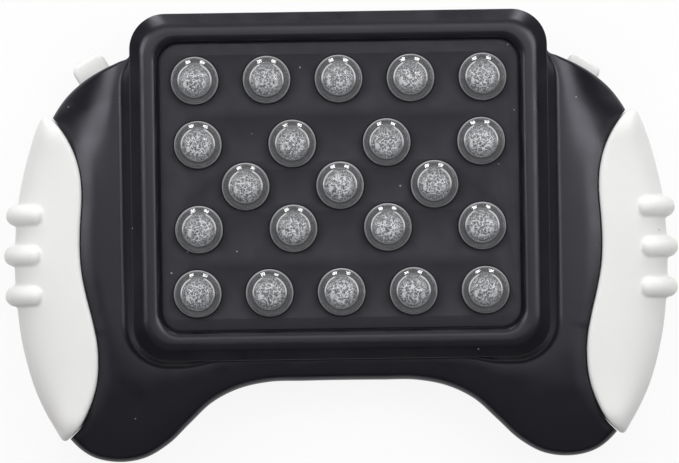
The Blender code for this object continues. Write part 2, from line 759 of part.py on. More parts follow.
def front_shell():
    shell = front_wings()
    join(shell, block_solid())
    hollow = front_hollow()
    cut(hollow, *[beyond_seam(f"seam_wall_{side}", side, WALL) for side in (-1, 1)])
    room = plate("block_room", [block_loop(WALL, BLOCK_CORNER - WALL)], PARTING_HEIGHT - OVERRUN, LEDGE_BOTTOM)
    groove = plate(
        "rim_groove",
        [
            block_loop(WALL, BLOCK_CORNER - WALL),
            rounded_rectangle(PANEL_HALF_WIDTH + GAP + WALL, PANEL_HALF_DEPTH + GAP + WALL, PANEL_CORNER),
        ],
        LEDGE_BOTTOM - GAP,
        CREST_HEIGHT - WALL,
    )
    window = plate(
        "panel_window",
        [rounded_rectangle(PANEL_HALF_WIDTH - PANEL_LEDGE, PANEL_HALF_DEPTH - PANEL_LEDGE, PANEL_CORNER)],
        LEDGE_BOTTOM - OVERRUN,
        LEDGE_TOP + OVERRUN,
    )
    reach = HALF_WIDTH + OVERRUN
    below = box("below_parting", (-reach, -reach, -OVERRUN), (reach, reach, PARTING_HEIGHT + GAP / 2))
    cut(shell, hollow)
    cut(shell, room, *[beyond_seam(f"seam_front_{side}", side, 0) for side in (-1, 1)])
    cut(shell, groove, window)
    cut(shell, below)
    bosses, holes = [], []
    for i, (x, y) in enumerate(case_screw_places()):
        top = DECK_HEIGHT - WALL / 2
        bosses.append(cylinder(f"front_boss_{i}", (x, y, PARTING_HEIGHT + GAP), (x, y, top), BOSS_RADIUS))
        holes.append(pilot_hole(f"front_pilot_{i}", (x, y), PARTING_HEIGHT, CASE_SCREW_TIP))
    boss_radius = SCREW_SHANK_RADIUS + SCREW_CLEARANCE + BOARD_BOSS_WALL
    for i, (x, y) in enumerate(board_screw_places()):
        bosses.append(
            cylinder(f"board_boss_{i}", (x, y, BOARD_TOP + GAP), (x, y, CREST_HEIGHT - WALL + GAP), boss_radius)
        )
        holes.append(pilot_hole(f"board_pilot_{i}", (x, y), BOARD_TOP, BOARD_SCREW_TIP))
    join(shell, *bosses)
    cut(shell, *holes)
    return finished(shell, BLACK_PLASTIC)


def pilot_hole(name, place, mouth, tip):
    radius = SCREW_SHANK_RADIUS + SCREW_CLEARANCE
    return cylinder(name, (*place, mouth - GAP), (*place, tip + SCREW_CLEARANCE), radius, SCREW_SEGMENTS)


def shoulder_box(name, side, half_width, near, far, low, high):
    """A box in a shoulder button's own directions: across it, out along its travel, and up."""
    made = box(name, (-half_width, near, low), (half_width, far, high))
    place_shoulder(made, side)
    return made


def place_shoulder(obj, side):
    obj.location = (side * SHOULDER_X, outline_y(SHOULDER_X), 0)
    obj.rotation_euler = (0, 0, -side * SHOULDER_TILT)


def switch_face(side):
    """How far in from the case's edge a shoulder switch's plunger starts."""
    travel = LEFT_TRAVEL if side < 0 else RIGHT_TRAVEL
    return -(SHOULDER_FLANGE_SET_BACK + SHOULDER_FLANGE_THICKNESS + travel + GAP)


def rear_shell():
    shell = back_tub("rear_shell", OUTLINE, 0)
    hollow = back_tub("rear_hollow", HOLLOW_OUTLINE, WALL)
    cut(hollow, *[beyond_seam(f"seam_tub_wall_{side}", side, WALL) for side in (-1, 1)])
    cut(shell, hollow)
    reach = HALF_WIDTH + OVERRUN
    top = CREST_HEIGHT
    above = box("above_parting", (-reach, -reach, PARTING_HEIGHT - GAP / 2), (reach, reach, top))
    cut(shell, above, *[beyond_seam(f"seam_tub_{side}", side, 0) for side in (-1, 1)])
    join(shell, *rear_additions())
    cut(shell, *rear_cuts())
    return finished(shell, BLACK_PLASTIC)


def rear_additions():
    bay = box(
        "bay_walls",
        (-BAY_HALF_LENGTH - BAY_WALL, BAY_LOW_Y - BAY_WALL, WALL / 2),
        (BAY_HALF_LENGTH + BAY_WALL, BAY_HIGH_Y + BAY_WALL, BAY_TOP),
    )
    lug_boss = cylinder(
        "door_screw_boss",
        (0, DOOR_SCREW_Y, WALL / 2),
        (0, DOOR_SCREW_Y, DOOR_TOP + DOOR_SCREW_LENGTH + WALL),
        DOOR_LUG_RADIUS + GAP + BAY_WALL,
        SPEAKER_SEGMENTS,
    )
    found = [bay, lug_boss]
    for i, (x, y) in enumerate(case_screw_places()):
        found.append(
            cylinder(
                f"rear_boss_{i}", (x, y, WALL / 2), (x, y, PARTING_HEIGHT - GAP), COUNTERBORE_RADIUS + BOSS_WALL / 2
            )
        )
    for side in (-1, 1):
        near = switch_face(side) - SHOULDER_PLUNGER_LENGTH
        found.append(
            shoulder_box(
                f"switch_post_{side}", side, SHOULDER_SWITCH_HALF_SIDE,
                near - SHOULDER_SWITCH_DEPTH, near, WALL / 2, SHOULDER_BOTTOM - GAP,
            )
        )
    return found


def rear_cuts():
    found = [
        box(
            "bay_room",
            (-BAY_HALF_LENGTH, BAY_LOW_Y, WALL),
            (BAY_HALF_LENGTH, BAY_HIGH_Y, BAY_ROOF),
        ),
        plate("door_opening", [door_loop(GAP)], -OVERRUN, WALL + GAP),
        cylinder(
            "lug_recess", (0, DOOR_SCREW_Y, -OVERRUN), (0, DOOR_SCREW_Y, DOOR_TOP + GAP), DOOR_LUG_RADIUS + GAP
        ),
        box(
            "lug_neck",
            (-DOOR_LUG_RADIUS - GAP, DOOR_TOP_Y - GAP, -OVERRUN),
            (DOOR_LUG_RADIUS + GAP, DOOR_SCREW_Y, DOOR_TOP + GAP),
        ),
        cylinder(
            "lug_pilot",
            (0, DOOR_SCREW_Y, DOOR_TOP - GAP),
            (0, DOOR_SCREW_Y, DOOR_TOP + DOOR_SCREW_LENGTH),
            SCREW_SHANK_RADIUS + DOOR_SCREW_CLEARANCE,
        ),
    ]
    for i, (x, y) in enumerate(case_screw_places()):
        found.append(cylinder(f"counterbore_{i}", (x, y, -OVERRUN), (x, y, CASE_SCREW_SEAT), COUNTERBORE_RADIUS))
        found.append(
            cylinder(
                f"case_hole_{i}", (x, y, CASE_SCREW_SEAT - GAP), (x, y, PARTING_HEIGHT + OVERRUN),
                SCREW_SHANK_RADIUS + SCREW_CLEARANCE, SCREW_SEGMENTS,
            )
        )
    for side in (-1, 1):
        found.append(
            shoulder_box(
                f"button_slot_{side}", side, SHOULDER_HALF_WIDTH + GAP,
                -SHOULDER_FLANGE_SET_BACK, OVERRUN, SHOULDER_BOTTOM - GAP, PARTING_HEIGHT + OVERRUN,
            )
        )
        for i, y in enumerate(GRIP_SCREW_YS):
            seam = across(SEAM, y)
            found.append(
                cylinder(
                    f"grip_hole_{side}_{i}",
                    (side * (seam - WALL - OVERRUN), y, GRIP_SCREW_HEIGHT),
                    (side * (seam + OVERRUN), y, GRIP_SCREW_HEIGHT),
                    SCREW_SHANK_RADIUS + SCREW_CLEARANCE,
                    SCREW_SEGMENTS,
                )
            )
    for i in range(SPEAKER_SLOTS):
        y = SPEAKER_Y + (i - (SPEAKER_SLOTS - 1) / 2) * SPEAKER_SLOT_PITCH
        found.append(
            box(
                f"speaker_slot_{i}",
                (SPEAKER_X - SPEAKER_SLOT_HALF_LENGTH, y - SPEAKER_SLOT_HALF_WIDTH, -OVERRUN),
                (SPEAKER_X + SPEAKER_SLOT_HALF_LENGTH, y + SPEAKER_SLOT_HALF_WIDTH, WALL + GAP),
            )
        )
    for name, side, y in (("positive", 1, cell_y(0)), ("negative", -1, cell_y(2))):
        x = side * (CONTACT_FACE + CONTACT_THICKNESS / 2)
        half = CONTACT_THICKNESS / 2 + GAP
        found.append(
            box(
                f"{name}_tail_slot",
                (x - half, y - CONTACT_TAIL_HALF_WIDTH - GAP, BAY_ROOF - GAP),
                (x + half, y + CONTACT_TAIL_HALF_WIDTH + GAP, BAY_TOP + OVERRUN),
            )
        )
    return found


def screw_mesh(name, length, head=SCREW_HEAD_HEIGHT):
    """A pan-head screw along Z, its shank up from its seat at z = 0 and its head below."""
    return turned(
        name,
        [
            (0, length),
            (SCREW_SHANK_RADIUS, length - SCREW_SHANK_RADIUS),
            (SCREW_SHANK_RADIUS, 0),
            (SCREW_HEAD_RADIUS, 0),
            (SCREW_HEAD_RADIUS, -head),
            (0, -head),
        ],
        SCREW_SEGMENTS,
    )


def case_screws():
    seat = CASE_SCREW_SEAT - GAP
    mesh = screw_mesh("case_screw", CASE_SCREW_TIP - seat)
    for i, place in enumerate(case_screw_places()):
        add_object(f"case_screw_{i + 1}", mesh, METAL).location = (*place, seat)


def board_screws():
    seat = BOARD_BOTTOM - GAP
    mesh = screw_mesh("board_screw", BOARD_SCREW_TIP - seat)
    for i, place in enumerate(board_screw_places()):
        add_object(f"board_screw_{i + 1}", mesh, METAL).location = (*place, seat)


def grip_screws():
    mesh = screw_mesh("grip_screw", GRIP_SCREW_LENGTH)
    count = 0
    for side in (-1, 1):
        for y in GRIP_SCREW_YS:
            count += 1
            screw = add_object(f"grip_screw_{count}", mesh, METAL)
            screw.location = (side * seam_wall_inside(y), y, GRIP_SCREW_HEIGHT)
            screw.rotation_euler = (0, side * math.pi / 2, 0)


def seam_wall_inside(y):
    """Where a grip screw's head seats: clear of the case wall's inner face all round the head."""
    faces = [across(SEAM, y + shift) for shift in (-SCREW_HEAD_RADIUS, 0, SCREW_HEAD_RADIUS)]
    return min(faces) - WALL - GAP


def grip_section(y, wall):
    """One slice across a grip: square at the seam, with small edge rounds, and full and round outside."""
    inner = across(SEAM, y) + GRIP_SEAM_GAP
    outer = across(GRIP_EDGE, y) - wall
    depth = depth_inside(across(SEAM, y), y) + GRIP_TIP_DEPTH
    top = front_height(depth) + GRIP_PROUD - wall
    bottom = back_height(depth) + GRIP_RECESS + wall
    edge = min(GRIP_EDGE_ROUND, (outer - inner) * EDGE_WIDTH_share)
    if wall:
        inner -= OVERRUN
    near = edge * EDGE_CUT_share
    loop = [(inner, bottom + edge), (inner, top - edge), (inner + near, top - near)]
    loop += side_curve(inner + edge, outer, bottom, top, GRIP_SIDE_STEPS, math.pi / 2)
    loop.append((inner + near, bottom + near))
    return loop


def side_curve(inner, outer, bottom, top, steps, reach):
    """A full, round side from the top over the outermost point to the bottom, each side of it by an angle."""
    middle = PARTING_HEIGHT - GRIP_SIDE_DROP
    power = 2 / GRIP_SQUARENESS_share
    found = []
    for step in range(steps + 1):
        angle = reach * (1 - 2 * step / steps)
        half_height = top - middle if angle > 0 else middle - bottom
        x = inner + (outer - inner) * max(math.cos(angle), 0) ** power
        found.append((x, middle + math.copysign(half_height * abs(math.sin(angle)) ** power, angle)))
    return found


def shrunk(loop, share):
    centre_x = sum(x for x, _ in loop) / len(loop)
    centre_z = sum(z for _, z in loop) / len(loop)
    return [(centre_x + (x - centre_x) * share, centre_z + (z - centre_z) * share) for x, z in loop]


def grip_rings():
    top, bottom = SEAM[0].y, SEAM[-1].y
    rings = []
    for share, size_share in GRIP_END_shares:
        rings.append((top - GRIP_END_ROUND * share, size_share))
    first, last = top - GRIP_END_ROUND, bottom + GRIP_END_ROUND
    for i in range(GRIP_STATIONS + 1):
        rings.append((first + (last - first) * (1 - math.cos(math.pi * i / GRIP_STATIONS)) / 2, 1))
    for share, size_share in reversed(GRIP_END_shares):
        rings.append((bottom + GRIP_END_ROUND * share, size_share))
    return rings


def grip(name, side):
    rings = []
    for y, size_share in grip_rings():
        loop = shrunk(grip_section(y, 0), size_share)
        rings.append([(side * x, y, z) for x, z in loop])
    made = loft(name, rings)
    slices = []
    for share in GRIP_CAVITY_shares:
        y = placed(0, share).y
        slices.append([(side * x, y, z) for x, z in grip_section(y, GRIP_WALL)])
    cut(made, loft(f"{name}_hollow", slices))
    join(made, *grip_bosses(name, side))
    for i in (-1, 0, 1):
        join(made, rib(f"{name}_rib_{i}", side, RIB_MIDDLE_Y + i * RIB_PITCH))
    cut(made, *grip_pilots(name, side))
    return finished(made, WHITE_PLASTIC)


def grip_bosses(name, side):
    found = []
    for i, y in enumerate(GRIP_SCREW_YS):
        start = max(across(SEAM, y + shift) for shift in (-BOSS_RADIUS, 0, BOSS_RADIUS)) + GRIP_SEAM_GAP
        end = across(GRIP_EDGE, y) - GRIP_WALL / 2
        found.append(
            cylinder(
                f"{name}_boss_{i}", (side * start, y, GRIP_SCREW_HEIGHT), (side * end, y, GRIP_SCREW_HEIGHT), BOSS_RADIUS
            )
        )
    return found


def grip_pilots(name, side):
    found = []
    for i, y in enumerate(GRIP_SCREW_YS):
        start = side * across(SEAM, y)
        end = side * (seam_wall_inside(y) + GRIP_SCREW_LENGTH + SCREW_CLEARANCE)
        radius = SCREW_SHANK_RADIUS + SCREW_CLEARANCE
        found.append(
            cylinder(
                f"{name}_pilot_{i}", (start, y, GRIP_SCREW_HEIGHT), (end, y, GRIP_SCREW_HEIGHT), radius, SCREW_SEGMENTS
            )
        )
    return found


def rib(name, side, y):
    """A round-ended finger rib that wraps over the grip's outer side."""
    depth = depth_inside(across(SEAM, y), y) + GRIP_TIP_DEPTH
    inner = across(SEAM, y) + GRIP_SEAM_GAP + GRIP_EDGE_ROUND
    reach_x = across(GRIP_EDGE, y) + RIB_PROUD
    outer = reach_x - RIB_RADIUS
    top = front_height(depth) + GRIP_PROUD + RIB_RISE - RIB_RADIUS
    bottom = back_height(depth) + GRIP_RECESS - RIB_LOWER_RISE + RIB_RADIUS
    share = (reach_x - RIB_SPAN - inner) / (outer - inner)
    reach = math.acos(share ** (GRIP_SQUARENESS_share / 2))
    path = side_curve(inner, outer, bottom, top, RIB_STEPS, reach)
    ends = [*RIB_END_shares, *[1] * (RIB_STEPS + 1 - 2 * len(RIB_END_shares)), *reversed(RIB_END_shares)]
    return tube(name, [(side * x, y, z) for x, z in path], RIB_RADIUS, 2, ends)


def face_panel():
    outline = rounded_rectangle(PANEL_HALF_WIDTH, PANEL_HALF_DEPTH, PANEL_CORNER)
    holes = [circle(x, y, BUBBLE_RADIUS + GAP, BUBBLE_SEGMENTS) for x, y in bubble_places()]
    return plate("face_panel", [outline, *holes], PANEL_BOTTOM, PANEL_TOP, PANEL_PLASTIC)


def bubble_places():
    found = []
    for row_y, count, pitch in ROWS:
        for i in range(count):
            found.append(((i - (count - 1) / 2) * pitch, BLOCK_Y + row_y))
    return found


def bubbles():
    """Clear domes. Each is bored from below up to its lit face, where a stem hangs over its key switch."""
    base = PANEL_TOP - BUBBLE_SINK
    profile = []
    for step in range(DOME_STEPS + 1):
        angle = math.pi / 2 * step / DOME_STEPS
        profile.append((BUBBLE_RADIUS * math.sin(angle), base + BUBBLE_RADIUS * math.cos(angle)))
    profile += [
        (BUBBLE_RADIUS, BUBBLE_FLANGE_TOP),
        (BUBBLE_FLANGE_RADIUS, BUBBLE_FLANGE_TOP),
        (BUBBLE_FLANGE_RADIUS, BUBBLE_FLANGE_BOTTOM),
        (BUBBLE_CORE_RADIUS, BUBBLE_FLANGE_BOTTOM),
        (BUBBLE_CORE_RADIUS, BUBBLE_CORE_HEIGHT),
        (BUBBLE_STEM_RADIUS, BUBBLE_CORE_HEIGHT),
        (BUBBLE_STEM_RADIUS, BUBBLE_STEM_BOTTOM),
        (0, BUBBLE_STEM_BOTTOM),
    ]
    mesh = turned("bubble", profile, BUBBLE_SEGMENTS)
    for i, (x, y) in enumerate(bubble_places()):
        add_object(f"bubble_{i + 1:02d}", mesh, CLEAR_PLASTIC).location = (x, y, 0)


def light_well_plate():
    outline = rounded_rectangle(WELL_PLATE_HALF_WIDTH, WELL_PLATE_HALF_DEPTH, WELL_PLATE_CORNER, steps=2)
    radius = BUBBLE_FLANGE_RADIUS + WELL_CLEARANCE
    wells = [circle(x, y, radius, BUBBLE_SEGMENTS) for x, y in bubble_places()]
    return plate("light_well_plate", [outline, *wells], WELL_PLATE_BOTTOM, WELL_PLATE_TOP, MILKY_PLASTIC)


def circuit_board():
    outline = rounded_rectangle(BOARD_HALF_WIDTH, BOARD_HALF_DEPTH, BOARD_CORNER, steps=2)
    radius = SCREW_SHANK_RADIUS + SCREW_CLEARANCE
    holes = [circle(x, y, radius, SCREW_SEGMENTS) for x, y in board_screw_places()]
    board = plate("circuit_board", [outline, *holes], BOARD_BOTTOM, BOARD_TOP)
    base = BOARD_TOP - SOLDER_DEPTH
    fitted, plungers = [], []
    for i, (x, y) in enumerate(bubble_places()):
        fitted.append(
            box(
                f"switch_{i}",
                (x - SWITCH_HALF_SIDE, y - SWITCH_HALF_SIDE, base),
                (x + SWITCH_HALF_SIDE, y + SWITCH_HALF_SIDE, BOARD_TOP + SWITCH_HEIGHT),
            )
        )
        lamp_y = y + LAMP_OFFSET
        fitted.append(
            box(
                f"lamp_{i}",
                (x - LAMP_HALF_WIDTH, lamp_y - LAMP_HALF_DEPTH, base),
                (x + LAMP_HALF_WIDTH, lamp_y + LAMP_HALF_DEPTH, BOARD_TOP + LAMP_HEIGHT),
            )
        )
        plungers.append(
            cylinder(
                f"plunger_{i}", (x, y, BOARD_TOP + LAMP_HEIGHT), (x, y, ACTUATOR_TOP), ACTUATOR_RADIUS, SCREW_SEGMENTS
            )
        )
    drop = BOARD_BOTTOM - CHIP_DROP
    chip = loft(
        "chip",
        [
            flat_ring(circle(CHIP_X, BLOCK_Y, CHIP_RADIUS * CHIP_SQUASH_share, BOSS_SEGMENTS), drop),
            flat_ring(circle(CHIP_X, BLOCK_Y, CHIP_RADIUS, BOSS_SEGMENTS), BOARD_BOTTOM + SOLDER_DEPTH),
        ],
    )
    join(board, *fitted, chip)
    join(board, *plungers)
    return finished(board, BOARD)


def shoulder_button(name, side, protrusion):
    button = shoulder_box(
        name, side, SHOULDER_HALF_WIDTH, -SHOULDER_FLANGE_SET_BACK - SHOULDER_FLANGE_THICKNESS / 2,
        protrusion, SHOULDER_BOTTOM, SHOULDER_TOP,
    )
    bevel = button.modifiers.new("round", "BEVEL")
    bevel.width = SHOULDER_ROUND
    bevel.segments = 2
    bpy.context.view_layer.update()
    button = meshed(button)
    flange = shoulder_box(
        f"{name}_flange", side, SHOULDER_FLANGE_HALF_WIDTH,
        -SHOULDER_FLANGE_SET_BACK - SHOULDER_FLANGE_THICKNESS, -SHOULDER_FLANGE_SET_BACK,
        SHOULDER_BOTTOM + GAP, SHOULDER_TOP - GAP,
    )
    join(button, flange)
    return finished(button, WHITE_PLASTIC)


def shoulder_switch(name, side):
    face = switch_face(side)
    back = face - SHOULDER_PLUNGER_LENGTH
    switch = shoulder_box(
        name, side, SHOULDER_SWITCH_HALF_SIDE, back - SHOULDER_SWITCH_DEPTH, back, SHOULDER_BOTTOM, SHOULDER_TOP
    )
    middle = (SHOULDER_BOTTOM + SHOULDER_TOP) / 2
    plunger = cylinder(f"{name}_plunger", (0, back - GAP, middle), (0, face, middle), SHOULDER_PLUNGER_RADIUS)
    place_shoulder(plunger, side)
    join(switch, plunger)
    return finished(switch, METAL)


def cell_y(index):
    return CELL_Y + (index - 1) * CELL_PITCH


def cells():
    """Three cells side by side, the middle one turned the other way. Each nub meets a flat contact."""
    shoulder = CELL_LENGTH / 2 - CELL_NUB_LENGTH
    mesh = turned(
        "battery",
        [
            (0, CELL_LENGTH / 2),
            (CELL_NUB_RADIUS, CELL_LENGTH / 2),
            (CELL_NUB_RADIUS, shoulder),
            (CELL_RADIUS - CELL_EDGE, shoulder),
            (CELL_RADIUS, shoulder - CELL_EDGE),
            (CELL_RADIUS, CELL_EDGE - CELL_LENGTH / 2),
            (CELL_RADIUS - CELL_EDGE, -CELL_LENGTH / 2),
            (0, -CELL_LENGTH / 2),
        ],
        CELL_SEGMENTS,
    )
    for i, side in enumerate((1, -1, 1)):
        cell = add_object(f"battery_{i + 1}", mesh, CELL_CAN)
        cell.location = (side * CELL_SHIFT, cell_y(i), CELL_HEIGHT)
        cell.rotation_euler = (0, side * math.pi / 2, 0)


def spring(name, side, y):
    """A cone of wire from a contact plate to a cell's flat end."""
    start = CONTACT_FACE + CONTACT_THICKNESS / 2
    end = CELL_LENGTH / 2 - CELL_SHIFT + GAP + SPRING_WIRE
    count = SPRING_TURNS * SPRING_POINTS
    near = CONTACT_FACE - 2 * SPRING_WIRE
    points = [(side * start, y + SPRING_WIDE_RADIUS, CELL_HEIGHT)]
    for i in range(count + 1):
        share = i / count
        angle = 2 * math.pi * i / SPRING_POINTS
        radius = SPRING_WIDE_RADIUS * (1 - share) + SPRING_NARROW_RADIUS * share
        x = near * (1 - share) + end * share
        points.append((side * x, y + radius * math.cos(angle), CELL_HEIGHT + radius * math.sin(angle)))
    return tube(name, points, SPRING_WIRE, 0)


def contact(name, side, low_y, high_y, sprung_y=None, tail_y=None):
    """A contact plate at one end of the bay, with a spring where a cell's flat end meets it."""
    made = box(
        name,
        (side * CONTACT_FACE, low_y - CONTACT_HALF_WIDTH, CONTACT_BOTTOM),
        (side * (CONTACT_FACE + CONTACT_THICKNESS), high_y + CONTACT_HALF_WIDTH, BAY_ROOF - GAP),
    )
    if sprung_y is not None:
        join(made, spring(f"{name}_spring", side, sprung_y))
    if tail_y is not None:
        tail = box(
            f"{name}_tail",
            (side * CONTACT_FACE, tail_y - CONTACT_TAIL_HALF_WIDTH, BAY_ROOF - CELL_RADIUS),
            (side * (CONTACT_FACE + CONTACT_THICKNESS), tail_y + CONTACT_TAIL_HALF_WIDTH, BOARD_BOTTOM - GAP),
        )
        join(made, tail)
    return finished(made, METAL)


def contacts():
    contact("battery_contact_positive", 1, cell_y(0), cell_y(0), tail_y=cell_y(0))
    contact("battery_contact_negative", -1, cell_y(2), cell_y(2), sprung_y=cell_y(2), tail_y=cell_y(2))
    contact("battery_bridge_1", -1, cell_y(0), cell_y(1), sprung_y=cell_y(0))
    contact("battery_bridge_2", 1, cell_y(1), cell_y(2), sprung_y=cell_y(1))


def door_loop(spare):
    half_depth = (DOOR_TOP_Y - DOOR_BOTTOM_Y) / 2
    middle = (DOOR_TOP_Y + DOOR_BOTTOM_Y) / 2
    return rounded_rectangle(DOOR_HALF_WIDTH + spare, half_depth + spare, DOOR_CORNER, steps=2, centre_y=middle)


def battery_door():
    """The bay's cover. Two tabs hook behind the case's skin at its lower edge, and a screw holds its lug."""
    door = plate("battery_door", [door_loop(0)], DOOR_BOTTOM, DOOR_TOP)
    lug = cylinder("door_lug", (0, DOOR_SCREW_Y, DOOR_BOTTOM), (0, DOOR_SCREW_Y, DOOR_TOP), DOOR_LUG_RADIUS)
    neck = box(
        "door_neck",
        (-DOOR_LUG_RADIUS, DOOR_TOP_Y - OVERRUN, DOOR_BOTTOM),
        (DOOR_LUG_RADIUS, DOOR_SCREW_Y, DOOR_TOP),
    )
    additions = [neck]
    tab_bottom = WALL + BAY_CLEARANCE
    for side in (-1, 1):
        x = side * DOOR_TAB_X
        additions.append(
            box(
                f"tab_root_{side}",
                (x - DOOR_TAB_HALF_WIDTH, DOOR_BOTTOM_Y + GAP, DOOR_TOP - GAP),
                (x + DOOR_TAB_HALF_WIDTH, DOOR_BOTTOM_Y + DOOR_TAB_ROOT, tab_bottom + DOOR_TAB_THICKNESS),
            )
        )
        additions.append(
            box(
                f"tab_hook_{side}",
                (x - DOOR_TAB_HALF_WIDTH, DOOR_BOTTOM_Y - DOOR_TAB_REACH, tab_bottom),
                (x + DOOR_TAB_HALF_WIDTH, DOOR_BOTTOM_Y + DOOR_TAB_ROOT, tab_bottom + DOOR_TAB_THICKNESS),
            )
        )
    join(door, *additions)
    join(door, lug)
    head_room = DOOR_SCREW_SEAT + GAP
    holes = [
        cylinder(
            "door_hole", (0, DOOR_SCREW_Y, -OVERRUN), (0, DOOR_SCREW_Y, DOOR_TOP + OVERRUN),
            SCREW_SHANK_RADIUS + SCREW_CLEARANCE,
        ),
        cylinder(
            "door_counterbore", (0, DOOR_SCREW_Y, -OVERRUN), (0, DOOR_SCREW_Y, head_room), COUNTERBORE_RADIUS
        ),
    ]
    for i in range(DOOR_GRIP_RIBS):
        y = DOOR_BOTTOM_Y + (DOOR_TOP_Y - DOOR_BOTTOM_Y) * 3 / 4 + i * DOOR_GRIP_RIB_PITCH
        holes.append(
            box(
                f"door_groove_{i}",
                (-DOOR_GRIP_RIB_HALF_LENGTH, y - DOOR_GRIP_RIB_HALF_WIDTH, -OVERRUN),
                (DOOR_GRIP_RIB_HALF_LENGTH, y + DOOR_GRIP_RIB_HALF_WIDTH, DOOR_BOTTOM + DOOR_GRIP_RIB_DEPTH),
            )
        )
    cut(door, *holes)
    return finished(door, BLACK_PLASTIC)


def door_screw():
    mesh = screw_mesh("battery_door_screw", DOOR_SCREW_LENGTH, DOOR_SCREW_HEAD)
    add_object("battery_door_screw", mesh, METAL).location = (0, DOOR_SCREW_Y, DOOR_SCREW_SEAT)


def speaker():
    low = WALL + GAP
    high = low + SPEAKER_DEPTH
    mesh = turned(
        "speaker",
        [
            (0, high),
            (SPEAKER_MAGNET_RADIUS, high),
            (SPEAKER_MAGNET_RADIUS, low + 2 * SPEAKER_RIM),
            (SPEAKER_RADIUS - SPEAKER_RIM, low + SPEAKER_RIM),
            (SPEAKER_RADIUS, low + SPEAKER_RIM),
            (SPEAKER_RADIUS, low),
            (0, low),
        ],
        SPEAKER_SEGMENTS,
    )
    add_object("speaker", mesh, METAL).location = (SPEAKER_X, SPEAKER_Y, 0)


def speaker_leads():
    """Two short leads from the speaker's magnet cup up to the board, each leaning out on its way."""
    low = WALL + SPEAKER_DEPTH + 2 * GAP
    high = BOARD_BOTTOM - GAP
    for name, side, finish in (("speaker_lead_red", 1, RED_RUBBER), ("speaker_lead_black", -1, BLACK_RUBBER)):
        x = SPEAKER_X + side * LEAD_SPREAD
        points = []
        for step in range(LEAD_STEPS + 1):
            share = step / LEAD_STEPS
            lean = LEAD_LEAN * (1 - math.cos(math.pi * share)) / 2
            points.append((x, SPEAKER_Y + lean, low + (high - low) * share))
        tube(name, points, LEAD_RADIUS, 2, finish=finish)


def main():
    front_shell()
    rear_shell()
    grip("left_grip", -1)
    grip("right_grip", 1)
    face_panel()
    bubbles()
    light_well_plate()
    circuit_board()
    case_screws()
    board_screws()
    grip_screws()
    shoulder_button("left_shoulder_button", -1, LEFT_PROTRUSION)
    shoulder_button("right_shoulder_button", 1, RIGHT_PROTRUSION)
    shoulder_switch("left_shoulder_switch", -1)
    shoulder_switch("right_shoulder_switch", 1)
    cells()
    contacts()
    battery_door()
    door_screw()
    speaker()
    speaker_leads()


main()
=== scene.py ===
"""Handheld electronic memory game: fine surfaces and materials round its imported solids."""

import math

import bmesh
import bpy
from mathutils import Matrix, Vector


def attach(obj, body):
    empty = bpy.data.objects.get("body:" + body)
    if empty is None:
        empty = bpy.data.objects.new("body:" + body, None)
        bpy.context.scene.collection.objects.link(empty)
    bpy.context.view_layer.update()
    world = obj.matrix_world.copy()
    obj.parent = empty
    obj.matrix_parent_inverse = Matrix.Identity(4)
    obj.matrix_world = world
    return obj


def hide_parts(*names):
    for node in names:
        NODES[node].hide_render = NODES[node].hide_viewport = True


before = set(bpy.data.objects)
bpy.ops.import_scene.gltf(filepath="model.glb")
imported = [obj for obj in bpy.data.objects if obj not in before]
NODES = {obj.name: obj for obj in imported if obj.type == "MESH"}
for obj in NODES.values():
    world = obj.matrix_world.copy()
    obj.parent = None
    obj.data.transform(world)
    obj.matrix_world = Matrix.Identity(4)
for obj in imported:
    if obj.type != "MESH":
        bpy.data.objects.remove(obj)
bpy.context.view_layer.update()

# Sizes of the case, in metres, as in the solids
HALF_WIDTH = 0.0968
HALF_DEPTH = 0.0661
PARTING = 0.016
DECK = 0.0252
CREST = 0.032
WALL = 0.0022
GAP = 0.0003
OVERRUN = 0.004
EDGE_ROUND = 0.0095
EDGE_RISE = 0.95
BACK_ROUND = 0.0088
BACK_DROP = 0.97
BLOCK_HALF_WIDTH = 0.06155
BLOCK_HALF_DEPTH = 0.05125
BLOCK_CORNER = 0.0105
BLOCK_Y = HALF_DEPTH - BLOCK_HALF_DEPTH
BLOCK_LOW_Y = BLOCK_Y - BLOCK_HALF_DEPTH
BLOCK_WIDTH_PART = 0.636
BLOCK_DEPTH_PART = 0.55
RIM_WIDTH = 0.00865
RIM_TOP = 0.0319
RIM_OUTER = 0.0042
RIM_OUTER_INSET = 0.00514
RIM_INNER = 0.0022
RIM_SPARE = 0.0004
PANEL_CORNER = 0.006
PANEL_TOP = 0.029
PANEL_BOTTOM = 0.0268
LEDGE_TOP = PANEL_BOTTOM - GAP
LEDGE_BOTTOM = LEDGE_TOP - 0.002
PANEL_HALF_WIDTH = BLOCK_HALF_WIDTH - RIM_WIDTH
PANEL_HALF_DEPTH = BLOCK_HALF_DEPTH - RIM_WIDTH
FOOT = (BLOCK_HALF_WIDTH - 0.0096, BLOCK_LOW_Y + 0.0064, HALF_DEPTH - 0.014, 0.012)
GRIP_SEAM_GAP = 0.00035
GRIP_CORNER = 0.0013
GRIP_SCREW_HEIGHT = 0.0115
GRIP_SCREW_PARTS = (0.24, -0.46)
SIDE_POWER = 2.7
RIB_RADIUS = 0.0031
RIB_PROUD = 0.00323
RIB_PITCH = 0.0119
RIB_MIDDLE_Y = -0.00465
BUTTON_HALF_WIDTH = 0.00515
BUTTON_LOW = 0.0097
BUTTON_HIGH = 0.0157
BUTTON_TRAVEL = {-1: 0.0025, 1: 0.0015}
FLANGE_BACK = 0.0038
FLANGE_THICKNESS = 0.0012
SCREW_HOLE = 0.0015
SCREW_WELL = 0.0028
DOOR_HALF_WIDTH = 0.0289
DOOR_LOW = -0.0127
DOOR_HIGH = 0.0327
DOOR_TOP = 0.0022
LUG_Y = 0.0372
LUG_RADIUS = 0.0042
BAY_HALF = 0.0296
BAY_LOW = -0.0175
BAY_HIGH = 0.033
BAY_ROOF = 0.0175
